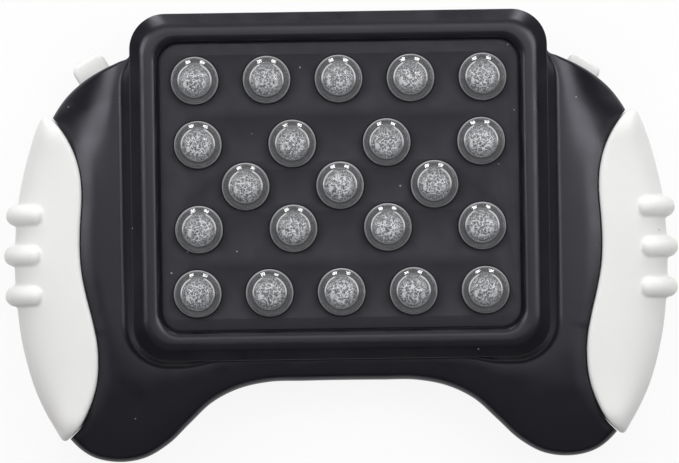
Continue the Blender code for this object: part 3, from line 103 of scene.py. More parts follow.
BAY_WALL = 0.0014
CELL_HALF = 0.0505 / 2
CELL_HEIGHT = 0.00985
CELL_Y = 0.010
CELL_PITCH = 0.0151
CONTACT_FACE = 0.0288
CONTACT_THICKNESS = 0.0005

# Sizes that only the fine surfaces have
EDGE_TIGHT = 0.0018
FOOT_TOP = 0.0266
SLOPE = 38
FILLET = 0.0028
SLOPE_REACH = 0.0038
CORNER_FLARE = 0.002
BLOCK_SPARE = 0.0004
RIB_SPAN = 0.0118
DOME_TOP = 0.035
VIOLET_GLOSS = (0.92, 0.91, 1.0, 1)

# The outline's right half, as parts of the case's half width and half depth
OUTLINE_POINTS = (
    (0.641, 0.807), (0.667, 0.791), (0.718, 0.758), (0.777, 0.708), (0.831, 0.641), (0.875, 0.551),
    (0.912, 0.416), (0.941, 0.234), (0.959, 0.030), (0.961, -0.182), (0.947, -0.393), (0.919, -0.605),
    (0.879, -0.779), (0.834, -0.897), (0.770, -0.973), (0.692, -0.999), (0.610, -0.983), (0.537, -0.923),
    (0.468, -0.828), (0.400, -0.737), (0.320, -0.678), (0.227, -0.649), (0.120, -0.646),
)
SEAM_POINTS = (
    (0.8765, 0.546), (0.840, 0.477), (0.805, 0.378), (0.788, 0.280), (0.785, 0.182), (0.790, 0.076),
    (0.793, -0.038), (0.788, -0.151), (0.774, -0.257), (0.754, -0.378), (0.743, -0.469), (0.741, -0.552),
    (0.749, -0.658), (0.772, -0.759), (0.802, -0.840), (0.842, -0.902),
)
GRIP_EDGE_POINTS = (
    (0.911, 0.546), (0.924, 0.507), (0.944, 0.428), (0.968, 0.303), (0.987, 0.166), (0.997, 0.015),
    (1, -0.159), (0.994, -0.306), (0.985, -0.424), (0.967, -0.552), (0.940, -0.681), (0.907, -0.787),
    (0.875, -0.868), (0.862, -0.902),
)


# Mesh helpers

def link(obj):
    bpy.context.scene.collection.objects.link(obj)
    return obj


def object_of(name, bm, smooth_angle=40):
    bmesh.ops.recalc_face_normals(bm, faces=bm.faces)
    mesh = bpy.data.meshes.new(name)
    bm.to_mesh(mesh)
    bm.free()
    mesh.shade_smooth()
    if smooth_angle:
        mesh.set_sharp_from_angle(angle=math.radians(smooth_angle))
    return link(bpy.data.objects.new(name, mesh))


def box(name, low, high):
    low, high = Vector(low), Vector(high)
    bm = bmesh.new()
    bmesh.ops.create_cube(bm, size=1)
    bmesh.ops.scale(bm, vec=high - low, verts=bm.verts)
    bmesh.ops.translate(bm, vec=(low + high) / 2, verts=bm.verts)
    return object_of(name, bm)


def cylinder(name, start, end, radius, segments=48):
    start, end = Vector(start), Vector(end)
    run = end - start
    turn = run.to_track_quat("Z", "Y").to_matrix().to_4x4()
    bm = bmesh.new()
    bmesh.ops.create_cone(
        bm, cap_ends=True, segments=segments, radius1=radius, radius2=radius, depth=run.length,
        matrix=Matrix.Translation((start + end) / 2) @ turn,
    )
    return object_of(name, bm)


def skin(bm, rows):
    """Faces between closed rows of as many points. A row on the axis is one point, repeated."""
    for row, after in zip(rows, rows[1:]):
        for i in range(len(row)):
            corners = list(dict.fromkeys((row[i - 1], row[i], after[i], after[i - 1])))
            if len(corners) > 2:
                bm.faces.new(corners)


def loft(name, rings, smooth_angle=40):
    bm = bmesh.new()
    rows = [[bm.verts.new(point) for point in ring] for ring in rings]
    skin(bm, rows)
    bm.faces.new(rows[0])
    bm.faces.new(rows[-1])
    return object_of(name, bm, smooth_angle)


def turned(name, profile, segments=64, smooth_angle=40):
    """A shape turned about Z from its profile, whose ends may lie on the axis."""
    bm = bmesh.new()
    turns = [2 * math.pi * i / segments for i in range(segments)]
    rows = []
    for radius, height in profile:
        if radius < 1e-7:
            rows.append([bm.verts.new((0, 0, height))] * segments)
        else:
            rows.append([bm.verts.new((radius * math.cos(a), radius * math.sin(a), height)) for a in turns])
    skin(bm, rows)
    return object_of(name, bm, smooth_angle)


def settled(obj):
    """Applies an object's modifiers."""
    bpy.context.view_layer.update()
    graph = bpy.context.evaluated_depsgraph_get()
    mesh = bpy.data.meshes.new_from_object(obj.evaluated_get(graph), depsgraph=graph)
    obj.modifiers.clear()
    if obj.type == "MESH":
        obj.data = mesh
        return obj
    name, place = obj.name, obj.matrix_world.copy()
    bpy.data.objects.remove(obj)
    made = link(bpy.data.objects.new(name, mesh))
    made.matrix_world = place
    return made


def welded(obj, distance):
    """Merges an object's doubled points and turns its faces outwards."""
    bm = bmesh.new()
    bm.from_mesh(obj.data)
    bmesh.ops.remove_doubles(bm, verts=bm.verts, dist=distance)
    bmesh.ops.recalc_face_normals(bm, faces=bm.faces)
    bm.to_mesh(obj.data)
    bm.free()
    return obj


def reshade(obj, angle=30):
    obj.data.shade_smooth()
    obj.data.set_sharp_from_angle(angle=math.radians(angle))
    return obj


def plate(name, loops, low, high, bevel=0.0):
    """A flat plate from low to high with holes, and edges rounded by a bevel."""
    curve = bpy.data.curves.new(name, "CURVE")
    curve.dimensions = "2D"
    curve.fill_mode = "BOTH"
    curve.extrude = (high - low) / 2 - bevel
    curve.bevel_depth = bevel
    curve.bevel_resolution = 2
    curve.offset = -bevel
    for i, loop in enumerate(loops):
        spline = curve.splines.new("POLY")
        spline.points.add(len(loop) - 1)
        for point, (x, y) in zip(spline.points, loop if i == 0 else loop[::-1]):
            point.co = (x, y, 0, 1)
        spline.use_cyclic_u = True
    obj = link(bpy.data.objects.new(name, curve))
    obj.location.z = (low + high) / 2
    return reshade(welded(settled(obj), 0.000002), 40)


def tube(name, places, radius, resolution, widths=()):
    """A round rod through the places, with its own part of the radius at each where widths are given."""
    curve = bpy.data.curves.new(name, "CURVE")
    curve.dimensions = "3D"
    curve.bevel_depth = radius
    curve.bevel_resolution = resolution
    curve.use_fill_caps = True
    points = curve.splines.new("POLY").points
    points.add(len(places) - 1)
    for point, place in zip(points, places):
        point.co = (*place, 1)
    for point, width in zip(points, widths):
        point.radius = width
    return settled(link(bpy.data.objects.new(name, curve)))


def upright(name, x, y, low, high, radius):
    return cylinder(name, (x, y, low), (x, y, high), radius)


def sideways(name, side, start, end, y, radius):
    """A cylinder that lies across the case at the height of a grip's screws."""
    return cylinder(name, (side * start, y, GRIP_SCREW_HEIGHT), (side * end, y, GRIP_SCREW_HEIGHT), radius)


def combine(obj, operation, tools):
    """Joins tools to an object or cuts them from it, and removes the tools."""
    for tool in tools:
        modifier = obj.modifiers.new(operation.lower(), "BOOLEAN")
        modifier.operation = operation
        modifier.object = tool
        modifier.solver = "MANIFOLD"
    settled(obj)
    for tool in tools:
        bpy.data.objects.remove(tool)
    return obj


def cut(obj, *tools):
    return combine(obj, "DIFFERENCE", tools)


def join(obj, *tools):
    return combine(obj, "UNION", tools)


# Shapes shared with the solids

def quarter(count, start=0):
    """The angles of a quarter turn in equal steps."""
    return [math.pi / 2 * step / count for step in range(start, count + 1)]


def smooth(points, steps, closed):
    """A curve through the points, where long spans don't bend short ones."""
    points = [Vector(point) for point in points]
    last = len(points) - 1
    if closed:
        row = [points[last], *points, points[0], points[1]]
    else:
        row = [2 * points[0] - points[1], *points, 2 * points[last] - points[last - 1]]
    found = []
    for before, start, end, after in zip(row, row[1:], row[2:], row[3:]):
        first, span, third = (start - before).length, (end - start).length, (after - end).length
        leave = (start - before) / first - (end - before) / (first + span) + (end - start) / span
        arrive = (end - start) / span - (after - start) / (span + third) + (after - end) / third
        for step in range(steps):
            t = step / steps
            found.append(
                start * (2 * t**3 - 3 * t**2 + 1) + end * (3 * t**2 - 2 * t**3)
                + leave * span * (t**3 - 2 * t**2 + t) + arrive * span * (t**3 - t**2)
            )
    return found if closed else [*found, points[last]]


def rounded_rectangle(half_width, half_depth, radius, steps=16, centre_y=BLOCK_Y, sides=1):
    points = []
    for corner, (side, end) in enumerate(((1, 1), (-1, 1), (-1, -1), (1, -1))):
        for step in range(steps + 1):
            angle = (corner + step / steps) * math.pi / 2
            x = side * (half_width - radius) + radius * math.cos(angle)
            y = end * (half_depth - radius) + radius * math.sin(angle)
            points.append(Vector((x, centre_y + y)))
    if sides == 1:
        return points
    found = []
    for i, point in enumerate(points):
        after = points[(i + 1) % len(points)]
        count = sides if (after - point).length > radius else 1
        found += [point.lerp(after, step / count) for step in range(count)]
    return found


def circle(centre_x, centre_y, radius, segments=64):
    turns = [2 * math.pi * i / segments for i in range(segments)]
    return [(centre_x + radius * math.cos(a), centre_y + radius * math.sin(a)) for a in turns]


def placed(x_part, y_part):
    side = HALF_WIDTH - BLOCK_HALF_WIDTH
    if x_part > BLOCK_WIDTH_PART:
        x = BLOCK_HALF_WIDTH + side * (x_part - BLOCK_WIDTH_PART) / (1 - BLOCK_WIDTH_PART)
    else:
        x = BLOCK_HALF_WIDTH * x_part / BLOCK_WIDTH_PART
    if y_part > -BLOCK_DEPTH_PART:
        y = BLOCK_LOW_Y + (HALF_DEPTH - BLOCK_LOW_Y) * (y_part + BLOCK_DEPTH_PART) / (1 + BLOCK_DEPTH_PART)
    else:
        y = BLOCK_LOW_Y + (HALF_DEPTH + BLOCK_LOW_Y) * (y_part + BLOCK_DEPTH_PART) / (1 - BLOCK_DEPTH_PART)
    return Vector((x, y))


def case_outline(steps):
    block = (BLOCK_HALF_WIDTH - BLOCK_SPARE, BLOCK_HALF_DEPTH - BLOCK_SPARE, BLOCK_CORNER)
    corner = rounded_rectangle(*block, steps=4)[:5]
    straight = [Vector((corner[4].x * part, corner[4].y)) for part in (0.3, 0.6, 0.9)]
    right = [*straight, *reversed(corner), *[placed(*pair) for pair in OUTLINE_POINTS]]
    return smooth([*right, *[Vector((-p.x, p.y)) for p in reversed(right)]], steps, closed=True)


OUTLINE = case_outline(8)
SEAM = smooth([placed(*pair) for pair in SEAM_POINTS], 8, closed=False)
GRIP_EDGE = smooth([placed(*pair) for pair in GRIP_EDGE_POINTS], 8, closed=False)


def across(curve, y):
    for before, after in zip(curve, curve[1:]):
        if after.y <= y <= before.y:
            return before.x + (after.x - before.x) * (before.y - y) / (before.y - after.y)
    return curve[0].x if y > curve[0].y else curve[-1].x


def onto_core(point, half_width, low, high, radius):
    x = min(max(point.x, radius - half_width), half_width - radius)
    y = min(max(point.y, low + radius), high - radius)
    nearest = Vector((x, y))
    return nearest + (point - nearest).normalized() * radius


def normals_of(outline):
    found = []
    for i, point in enumerate(outline):
        along = (outline[(i + 1) % len(outline)] - point).normalized() + (point - outline[i - 1]).normalized()
        found.append(Vector((along.y, -along.x)).normalized())
    return found


NORMALS = normals_of(OUTLINE)


def inset_ring(inset, core, height, reach=0.9):
    """The outline drawn in towards a core, by an inset measured square to it, and never past the core."""
    ring = []
    for point, normal, goal in zip(OUTLINE, NORMALS, core):
        way = goal - point
        lean = max(way.normalized().dot(normal), 0.45)
        limit = way.length * reach
        wanted = inset / lean
        step = wanted * limit / (wanted**3 + limit**3) ** (1 / 3) if wanted else 0
        ring.append((*(point + way.normalized() * step), height))
    return ring


def flat_ring(points, height):
    return [(x, y, height) for x, y in points]


def block_ring(inset, height, steps=16):
    part = inset / RIM_WIDTH
    radius = BLOCK_CORNER * (1 - part) + PANEL_CORNER * part
    half_depth = BLOCK_HALF_DEPTH - inset - RIM_SPARE * part
    return flat_ring(rounded_rectangle(BLOCK_HALF_WIDTH - inset, half_depth, radius, steps, sides=12), height)


def beyond_seams(name, spare=0.0):
    """A block on each side of the case that holds all beyond the line where the grip begins."""
    far = HALF_WIDTH + OVERRUN
    found = []
    for side in (1, -1):
        seam = [(side * (point.x - spare), point.y) for point in SEAM]
        top, bottom = seam[0][1] + spare, seam[-1][1] - spare
        loop = [(side * far, top), *seam, (side * far, bottom)]
        found.append(plate(f"{name}_{side}", [loop], -OVERRUN, CREST + OVERRUN))
    return found


def case_screw_places():
    spots = [placed(*pair) for pair in ((0.66, -0.757), (0.703, -0.121), (0.687, 0.393))]
    return [(side * spot.x, spot.y) for spot in spots for side in (-1, 1)]


def bubble_places():
    found = []
    wide = (PANEL_HALF_WIDTH - 0.0112) * 2 / 3
    close = (PANEL_HALF_WIDTH - 0.0105) / 2
    outer = PANEL_HALF_DEPTH - 0.0112
    inner = 0.0125
    rows = ((outer, 5, close), (inner, 4, wide), (0, 3, wide), (-inner, 4, wide), (-outer, 5, close))
    for row_y, count, pitch in rows:
        for i in range(count):
            found.append(((i - (count - 1) / 2) * pitch, BLOCK_Y + row_y))
    return found


# Front of the case

def skirt(outline):
    """The foot of the block's slope, and its top just inside the block's wall."""
    wide, corner = BLOCK_HALF_WIDTH + SLOPE_REACH, BLOCK_CORNER + SLOPE_REACH
    inner = BLOCK_HALF_WIDTH - BLOCK_SPARE
    end = HALF_DEPTH - BLOCK_SPARE
    foot = []
    for p in outline:
        flare = min(max((abs(p.x) - 0.035) / 0.013, 0), 1)
        low = BLOCK_LOW_Y - 0.0003 - CORNER_FLARE * flare**2 * (3 - 2 * flare)
        foot.append(onto_core(p, wide, low, HALF_DEPTH - 0.0085, corner))
    top = [onto_core(p, inner, BLOCK_LOW_Y + BLOCK_SPARE, end, BLOCK_CORNER - BLOCK_SPARE) for p in outline]
    return foot, top


def slope_height(run):
    """The rim's outer side, by the distance inwards from the block's wall: a slope with a rounded crest."""
    angle = math.radians(SLOPE)
    start = RIM_OUTER_INSET - RIM_OUTER * math.sin(angle)
    if run >= RIM_OUTER_INSET:
        return RIM_TOP
    if run > start:
        return RIM_TOP - RIM_OUTER + math.sqrt(RIM_OUTER**2 - (RIM_OUTER_INSET - run) ** 2)
    return RIM_TOP - RIM_OUTER * (1 - math.cos(angle)) - (start - run) * math.tan(angle)


def seam_distance(point):
    """How far a place on the deck lies inside the line where the grip begins."""
    if not SEAM[-1].y - 0.004 < point.y < SEAM[0].y + 0.004:
        return 1.0
    return across(SEAM, point.y) - abs(point.x)


def front_wings():
    """The case's front without its block: an upright edge, a tight round, a crowned deck and the skirt."""
    foot, top = skirt(OUTLINE)
    turn = math.radians(SLOPE)
    lanes = []
    for point, normal, goal, crest in zip(OUTLINE, NORMALS, foot, top):
        way = goal - point
        width = way.length
        along = way / width
        lean = max(along.dot(normal), 0.5)
        low = max(0, 1 - (abs(point.x) / 0.047) ** 6) if point.y < 0 else 0
        lobe = min(max((width - 0.012) / 0.01, 0), 1) if point.y < -0.03 else 0
        shoulder = min(max((point.y - 0.012) / 0.028, 0), 1)
        shoulder = shoulder**2 * (3 - 2 * shoulder)
        breadth = (1 - math.exp(-width / 0.012)) * (1 - shoulder)
        breadth += (1 - math.exp(-(width / 0.0135) ** 2)) * shoulder
        drop = min((0.0048 + 0.001 * lobe + 0.0067 * shoulder) * breadth, 0.0091)
        round_off = min(EDGE_TIGHT * (1 - 0.5 * shoulder), width * 0.3)

        def crown(inset):
            place = point + along * inset
            near = min(max(1 - seam_distance(place) / 0.0052, 0), 1.3)
            sunk = drop * (1 - inset / width) ** (2 - 0.35 * shoulder)
            return FOOT_TOP - sunk - 0.0006 * near**2 * (1 - shoulder)

        lane = [(point, PARTING - OVERRUN), (point, PARTING), (point, crown(0) - round_off)]
        for angle in quarter(8, 1):
            inset = round_off * (1 - math.cos(angle)) / lean
            lane.append((point + along * inset, crown(inset) - round_off * (1 - math.sin(angle))))
        inner = round_off / lean
        for i in range(1, 41):
            inset = inner + (width - 0.00012 - inner) * i / 40
            lane.append((point + along * inset, crown(inset)))
        lane.append((goal, FOOT_TOP))
        climb = crest - goal
        reach = climb.length
        rise = slope_height(BLOCK_SPARE) - 0.00003 - FOOT_TOP
        fillet = FILLET * (1 + 0.4 * min(max((-goal.y - 0.004) / 0.022, 0), 1))
        bend = min(fillet * math.sin(turn) / reach, 0.57)
        side = min(max((reach - 0.0007) / 0.0016, 0), 1)
        for i in range(1, 17):
            part = i / 16
            even = (part**2 / (2 * bend) if part < bend else part - bend / 2) / (1 - bend / 2)
            steep = 0.08 * part + 0.92 * part**6
            lane.append((goal + climb * part, FOOT_TOP + rise * (side * even + (1 - side) * steep)))
        lanes.append(lane)
    rings = [[(*lane[i][0], lane[i][1]) for lane in lanes] for i in range(len(lanes[0]))]
    inset = RIM_WIDTH / 2
    pit = (BLOCK_HALF_WIDTH - inset, BLOCK_LOW_Y + inset, HALF_DEPTH - inset, PANEL_CORNER)
    rings.append(flat_ring([onto_core(point, *pit) for point in top], LEDGE_BOTTOM))
    return loft("front_wings", rings)


def block_solid():
    rings = [block_ring(0, PARTING - OVERRUN)]
    edge = BLOCK_SPARE
    tilt = math.radians(SLOPE)
    centre = slope_height(0) + edge * math.tan(tilt) - edge / math.cos(tilt)
    for step in range(7):
        angle = (math.pi / 2 - tilt) * step / 6
        rings.append(block_ring(edge * (1 - math.cos(angle)), centre + edge * math.sin(angle)))
    start = RIM_OUTER_INSET - RIM_OUTER * math.sin(tilt)
    rings += [block_ring(inset, slope_height(inset)) for inset in (0.0005, 0.0012, start)]
    count = 10
    for step in range(1, count + 1):
        inset = RIM_OUTER_INSET - RIM_OUTER * math.sin(math.radians(SLOPE * (1 - step / count)))
        rings.append(block_ring(inset, slope_height(inset)))
    wall = RIM_WIDTH - GAP
    for angle in quarter(count):
        inset = wall - RIM_INNER * (1 - math.sin(angle))
        rings.append(block_ring(inset, RIM_TOP - RIM_INNER * (1 - math.cos(angle))))
    rings.append(block_ring(wall, LEDGE_TOP))
    return loft("block", rings)


def front_shell():
    shell = front_wings()
    join(shell, block_solid())
    foot = [onto_core(point, *FOOT) for point in OUTLINE]
    rings = [inset_ring(WALL, foot, PARTING - OVERRUN)]
    for angle in quarter(6):
        height = PARTING + (DECK - WALL - 0.0011 - PARTING) * EDGE_RISE * math.sin(angle)
        rings.append(inset_ring(WALL + (EDGE_ROUND - WALL) * (1 - math.cos(angle)), foot, height))
    rings.append(flat_ring(foot, DECK - WALL - 0.0008))
    hollow = loft("front_hollow", rings)
    cut(hollow, *beyond_seams("seam_wall", WALL))
    block = rounded_rectangle(BLOCK_HALF_WIDTH - WALL, BLOCK_HALF_DEPTH - WALL, BLOCK_CORNER - WALL)
    room = plate("block_room", [block], PARTING - OVERRUN, LEDGE_BOTTOM)
    window = plate(
        "panel_window",
        [rounded_rectangle(PANEL_HALF_WIDTH - 0.0015, PANEL_HALF_DEPTH - 0.0015, PANEL_CORNER)],
        LEDGE_BOTTOM - OVERRUN, LEDGE_TOP + OVERRUN,
    )
    reach = HALF_WIDTH + OVERRUN
    below = box("below_parting", (-reach, -reach, -OVERRUN), (reach, reach, PARTING + GAP / 2))
    cut(shell, hollow, room, window, *beyond_seams("seam"), below)
    return reshade(shell, 28)


# Back of the case

def back_tub(name, wall):
    core = [onto_core(point, *FOOT) for point in OUTLINE]
    rings = [flat_ring(core, wall)]
    for angle in reversed(quarter(12)):
        height = PARTING - (PARTING - wall) * BACK_DROP * math.sin(angle)
        rings.append(inset_ring(wall + (BACK_ROUND - wall) * (1 - math.cos(angle)), core, height))
    rings.append(inset_ring(wall, core, PARTING + OVERRUN))
    return loft(name, rings)


def shoulder_place(side):
    """The place on the case's edge where a shoulder button comes out, with +Y pointing outwards."""
    edge = [p for p in OUTLINE if p.x > BLOCK_HALF_WIDTH and p.y > 0]
    edge.sort(key=lambda p: p.x)
    at = 0.0724
    for before, after in zip(edge, edge[1:]):
        if before.x <= at <= after.x:
            y = before.y + (after.y - before.y) * (at - before.x) / (after.x - before.x)
    return Matrix.Translation((side * at, y, 0)) @ Matrix.Rotation(-side * math.radians(30.5), 4, "Z")


def shoulder_box(name, side, half_width, near, far, low, high):
    made = box(name, (-half_width, near, low), (half_width, far, high))
    made.data.transform(shoulder_place(side))
    return made


def rear_shell():
    shell = back_tub("rear_shell_skin", 0)
    hollow = back_tub("rear_hollow", WALL)
    cut(hollow, *beyond_seams("seam_tub_wall", WALL))
    reach = HALF_WIDTH + OVERRUN
    above = box("above_parting", (-reach, -reach, PARTING - GAP / 2), (reach, reach, CREST))
    cut(shell, hollow, above, *beyond_seams("seam_tub"))
    bosses = [
        box(
            "bay_walls", (-BAY_HALF - BAY_WALL, BAY_LOW - BAY_WALL, WALL / 2),
            (BAY_HALF + BAY_WALL, BAY_HIGH + BAY_WALL, BAY_ROOF + BAY_WALL),
        ),
        upright("door_boss", 0, LUG_Y, WALL / 2, 0.0092, 0.0059),
    ]
    for i, place in enumerate(case_screw_places()):
        bosses.append(upright(f"boss_{i}", *place, WALL / 2, PARTING - GAP, 0.0036))
    for side in (-1, 1):
        near = -(FLANGE_BACK + FLANGE_THICKNESS + BUTTON_TRAVEL[side] + GAP) - 0.0012
        post = (0.003, near - 0.0045, near, WALL / 2, BUTTON_LOW - GAP)
        bosses.append(shoulder_box(f"post_{side}", side, *post))
    join(shell, *bosses)
    neck, recess = LUG_RADIUS + GAP, 0.0025
    holes = [
        box("bay_room", (-BAY_HALF, BAY_LOW, WALL), (BAY_HALF, BAY_HIGH, BAY_ROOF)),
        plate("door_opening", [door_loop(GAP)], -OVERRUN, WALL + GAP),
        upright("lug_recess", 0, LUG_Y, -OVERRUN, recess, neck),
        box("lug_neck", (-neck, DOOR_HIGH - GAP, -OVERRUN), (neck, LUG_Y, recess)),
        upright("lug_pilot", 0, LUG_Y, 0.002, 0.007, 0.0018),
    ]
    for i, place in enumerate(case_screw_places()):
        holes.append(upright(f"bore_{i}", *place, -OVERRUN, 0.010, SCREW_WELL))
        holes.append(upright(f"hole_{i}", *place, 0.0095, PARTING + OVERRUN, SCREW_HOLE))
    for side in (-1, 1):
        room = (BUTTON_HALF_WIDTH + GAP, -FLANGE_BACK, OVERRUN, BUTTON_LOW - GAP, PARTING + OVERRUN)
        holes.append(shoulder_box(f"slot_{side}", side, *room))
        for i, part in enumerate(GRIP_SCREW_PARTS):
            y = placed(0, part).y
            seam = across(SEAM, y)
            start, end = seam - WALL - OVERRUN, seam + OVERRUN
            holes.append(sideways(f"grip_hole_{side}_{i}", side, start, end, y, SCREW_HOLE))
    for i in range(5):
        y = 0.012 + (i - 2) * 0.003
        slot = [(x - 0.0465, y + dy) for x, dy in slot_loop(0.0062, 0.0007)]
        holes.append(plate(f"speaker_slot_{i}", [slot], -OVERRUN, WALL + GAP))
    for name, side, y in (("positive", 1, CELL_Y - CELL_PITCH), ("negative", -1, CELL_Y + CELL_PITCH)):
        x = side * (BAY_HALF - GAP - CONTACT_THICKNESS / 2)
        holes.append(box(f"{name}_slot", (x - 0.00055, y - 0.0013, 0.0172), (x + 0.00055, y + 0.0013, 0.023)))
    cut(shell, *holes)
    return reshade(shell, 28)


def slot_loop(half_length, half_width, steps=8):
    found = []
    for side in (1, -1):
        for step in range(steps + 1):
            angle = side * math.pi / 2 - math.pi * step / steps
            x = side * (half_length - half_width) + half_width * math.cos(angle)
            found.append((x, half_width * math.sin(angle)))
    return found


def door_loop(spare):
    half_depth = (DOOR_HIGH - DOOR_LOW) / 2
    middle = (DOOR_HIGH + DOOR_LOW) / 2
    return rounded_rectangle(DOOR_HALF_WIDTH + spare, half_depth + spare, 0.0015, 6, centre_y=middle)


# Grips

def profile_height(depth, reach, low, high, rise):
    part = min(max(depth / reach, 0), 1)
    return low + (high - low) * rise * math.sqrt(max(1 - (1 - part) ** 2, 0))


def depth_inside(x, y):
    return min((Vector((x, y)) - point).length for point in OUTLINE)


def grip_heights(y):
    tip_depth = 0.0014
    depth = depth_inside(across(SEAM, y), y) + tip_depth
    top = profile_height(depth, EDGE_ROUND, PARTING, DECK, EDGE_RISE) + 0.001
    bottom = profile_height(depth, BACK_ROUND, PARTING, 0, BACK_DROP) + 0.0012
    return top, bottom


def side_curve(inner, outer, bottom, top, steps, reach):
    middle = PARTING - 0.002
    power = 2 / SIDE_POWER
    found = []
    for step in range(steps + 1):
        angle = reach * (1 - 2 * step / steps)
        half_height = top - middle if angle > 0 else middle - bottom
        x = inner + (outer - inner) * max(math.cos(angle), 0) ** power
        found.append((x, middle + math.copysign(half_height * abs(math.sin(angle)) ** power, angle)))
    return found


def grip_section(y, wall):
    inner = across(SEAM, y) + GRIP_SEAM_GAP
    outer = across(GRIP_EDGE, y) - wall
    top, bottom = grip_heights(y)
    top -= wall
    bottom += wall
    edge = min(GRIP_CORNER, (outer - inner) * 0.3)
    if wall:
        inner -= OVERRUN
    turns = [(edge * (1 - math.cos(angle)), edge * (1 - math.sin(angle))) for angle in quarter(6)]
    loop = [(inner + inward, top - down) for inward, down in turns]
    loop += side_curve(inner + edge, outer, bottom, top, 40, math.pi / 2)[1:-1]
    return loop + [(inner + inward, bottom + up) for inward, up in reversed(turns)]


def shrunk(loop, part):
    centre_x = sum(x for x, _ in loop) / len(loop)
    centre_z = sum(z for _, z in loop) / len(loop)
    return [(centre_x + (x - centre_x) * part, centre_z + (z - centre_z) * part) for x, z in loop]


def rib_mesh(name, side, y):
    top, bottom = grip_heights(y)
    inner = across(SEAM, y) + GRIP_SEAM_GAP + GRIP_CORNER
    reach_x = across(GRIP_EDGE, y) + RIB_PROUD
    outer = reach_x - RIB_RADIUS
    part = (reach_x - RIB_SPAN - inner) / (outer - inner)
    reach = math.acos(part ** (SIDE_POWER / 2))
    path = side_curve(inner, outer, bottom - 0.0006 + RIB_RADIUS, top + 0.0018 - RIB_RADIUS, 96, reach)
    ends, widths = 7, []
    for i in range(len(path)):
        near = min(i, len(path) - 1 - i)
        widths.append(math.sqrt(1 - (1 - near / ends) ** 2) * 0.9 + 0.1 if near < ends else 1)
    return welded(tube(name, [(side * x, y, z) for x, z in path], RIB_RADIUS, 8, widths), 0.00001)


def grip(name, side):
    top, bottom = SEAM[0].y, SEAM[-1].y
    end_round, count = 0.0014, 90
    ends = [(end_round * (1 - math.cos(angle)), 0.62 + 0.38 * math.sin(angle)) for angle in quarter(6)[:-1]]
    first, last = top - end_round, bottom + end_round
    stations = [(top - inset, part) for inset, part in ends]
    for i in range(count + 1):
        stations.append((first + (last - first) * (1 - math.cos(math.pi * i / count)) / 2, 1))
    stations += [(bottom + inset, part) for inset, part in reversed(ends)]
    rings = []
    for y, part in stations:
        rings.append([(side * x, y, z) for x, z in shrunk(grip_section(y, 0), part)])
    made = loft(name, rings)
    join(made, *[rib_mesh(f"{name}_rib_{i}", side, RIB_MIDDLE_Y + i * RIB_PITCH) for i in (-1, 0, 1)])
    remesh = made.modifiers.new("remesh", "REMESH")
    remesh.mode = "VOXEL"
    remesh.voxel_size = 0.00038
    blur = made.modifiers.new("blur", "SMOOTH")
    blur.factor = 0.5
    blur.iterations = 7
    settled(made)
    slices = []
    for part in (-0.76, -0.6, -0.4, -0.15, 0.1, 0.3, 0.42):
        y = placed(0, part).y
        slices.append([(side * x, y, z) for x, z in grip_section(y, 0.002)])
    cut(made, loft(f"{name}_hollow", slices))
    bosses, pilots = [], []
    for i, part in enumerate(GRIP_SCREW_PARTS):
        y = placed(0, part).y
        start = max(across(SEAM, y + shift) for shift in (-0.0031, 0, 0.0031)) + GRIP_SEAM_GAP
        bosses.append(sideways(f"{name}_boss_{i}", side, start, across(GRIP_EDGE, y) - 0.001, y, 0.0031))
        seat = min(across(SEAM, y + shift) for shift in (-0.0024, 0, 0.0024)) - WALL - GAP
        pilots.append(sideways(f"{name}_pilot_{i}", side, across(SEAM, y), seat + 0.0093, y, SCREW_HOLE))
    join(made, *bosses)
    cut(made, *pilots)
    return reshade(made, 50)


# Panel, bubbles, buttons, screws

def face_panel():
    outline = rounded_rectangle(PANEL_HALF_WIDTH, PANEL_HALF_DEPTH - RIM_SPARE, PANEL_CORNER)
    holes = [circle(x, y, 0.0072, 96) for x, y in bubble_places()]
    return plate("face_panel_skin", [outline, *holes], PANEL_BOTTOM, PANEL_TOP, 0.00015)


def bubble_dome():
    """The clear cap: a smooth dome on an upright wall, hollow underneath."""
    profile = [(0, DOME_TOP)]
    count = 20
    sphere = 0.0094
    for step in range(1, count + 1):
        radius = 0.0066 * step / count
        profile.append((radius, DOME_TOP - sphere + math.sqrt(sphere**2 - radius**2)))
    profile += [(0.00675, 0.03205), (0.00687, 0.0317), (0.00695, 0.0312), (0.007, 0.0307)]
    profile += [(0.007, 0.0266), (0.0067, 0.0266), (0.0067, 0.0302), (0.0064, 0.0308)]
    profile += [(0.0052, 0.0311), (0, 0.0311)]
    return turned("bubble_dome", profile, 96)


def bubble_core():
    """The lit face under the dome: a textured disc with a rounded shoulder, on its bored stem."""
    profile = [(0, 0.0304)]
    for radius in (0.0006, 0.0012, 0.0018, 0.0024, 0.003, 0.0036, 0.0042, 0.0045):
        profile.append((radius, 0.0304 - 0.0002 * (radius / 0.0045) ** 2))
    for step in range(9):
        angle = math.pi * (1 - step / 8)
        profile.append((0.00485 + 0.00025 * math.cos(angle), 0.0302 + 0.00025 * math.sin(angle)))
    profile += [(0.0051, 0.0256), (0.0046, 0.0256), (0.0046, 0.0292)]
    profile += [(0.0022, 0.0292), (0.0022, 0.0266), (0, 0.0266)]
    return turned("bubble_core", profile, 96)


def bubble_collar():
    """The frosted collar that carries the cap: a shallow funnel round the lit face, on a flange."""
    profile = [(0.00515, 0.0255), (0.0077, 0.0255), (0.0077, 0.02645), (0.00665, 0.02655), (0.00665, 0.0301)]
    profile += [(0.0066, 0.0302), (0.0065, 0.03015), (0.0058, 0.0296), (0.0053, 0.0293), (0.00515, 0.0292)]
    profile.append((0.00515, 0.0255))
    return turned("bubble_collar", profile, 96)


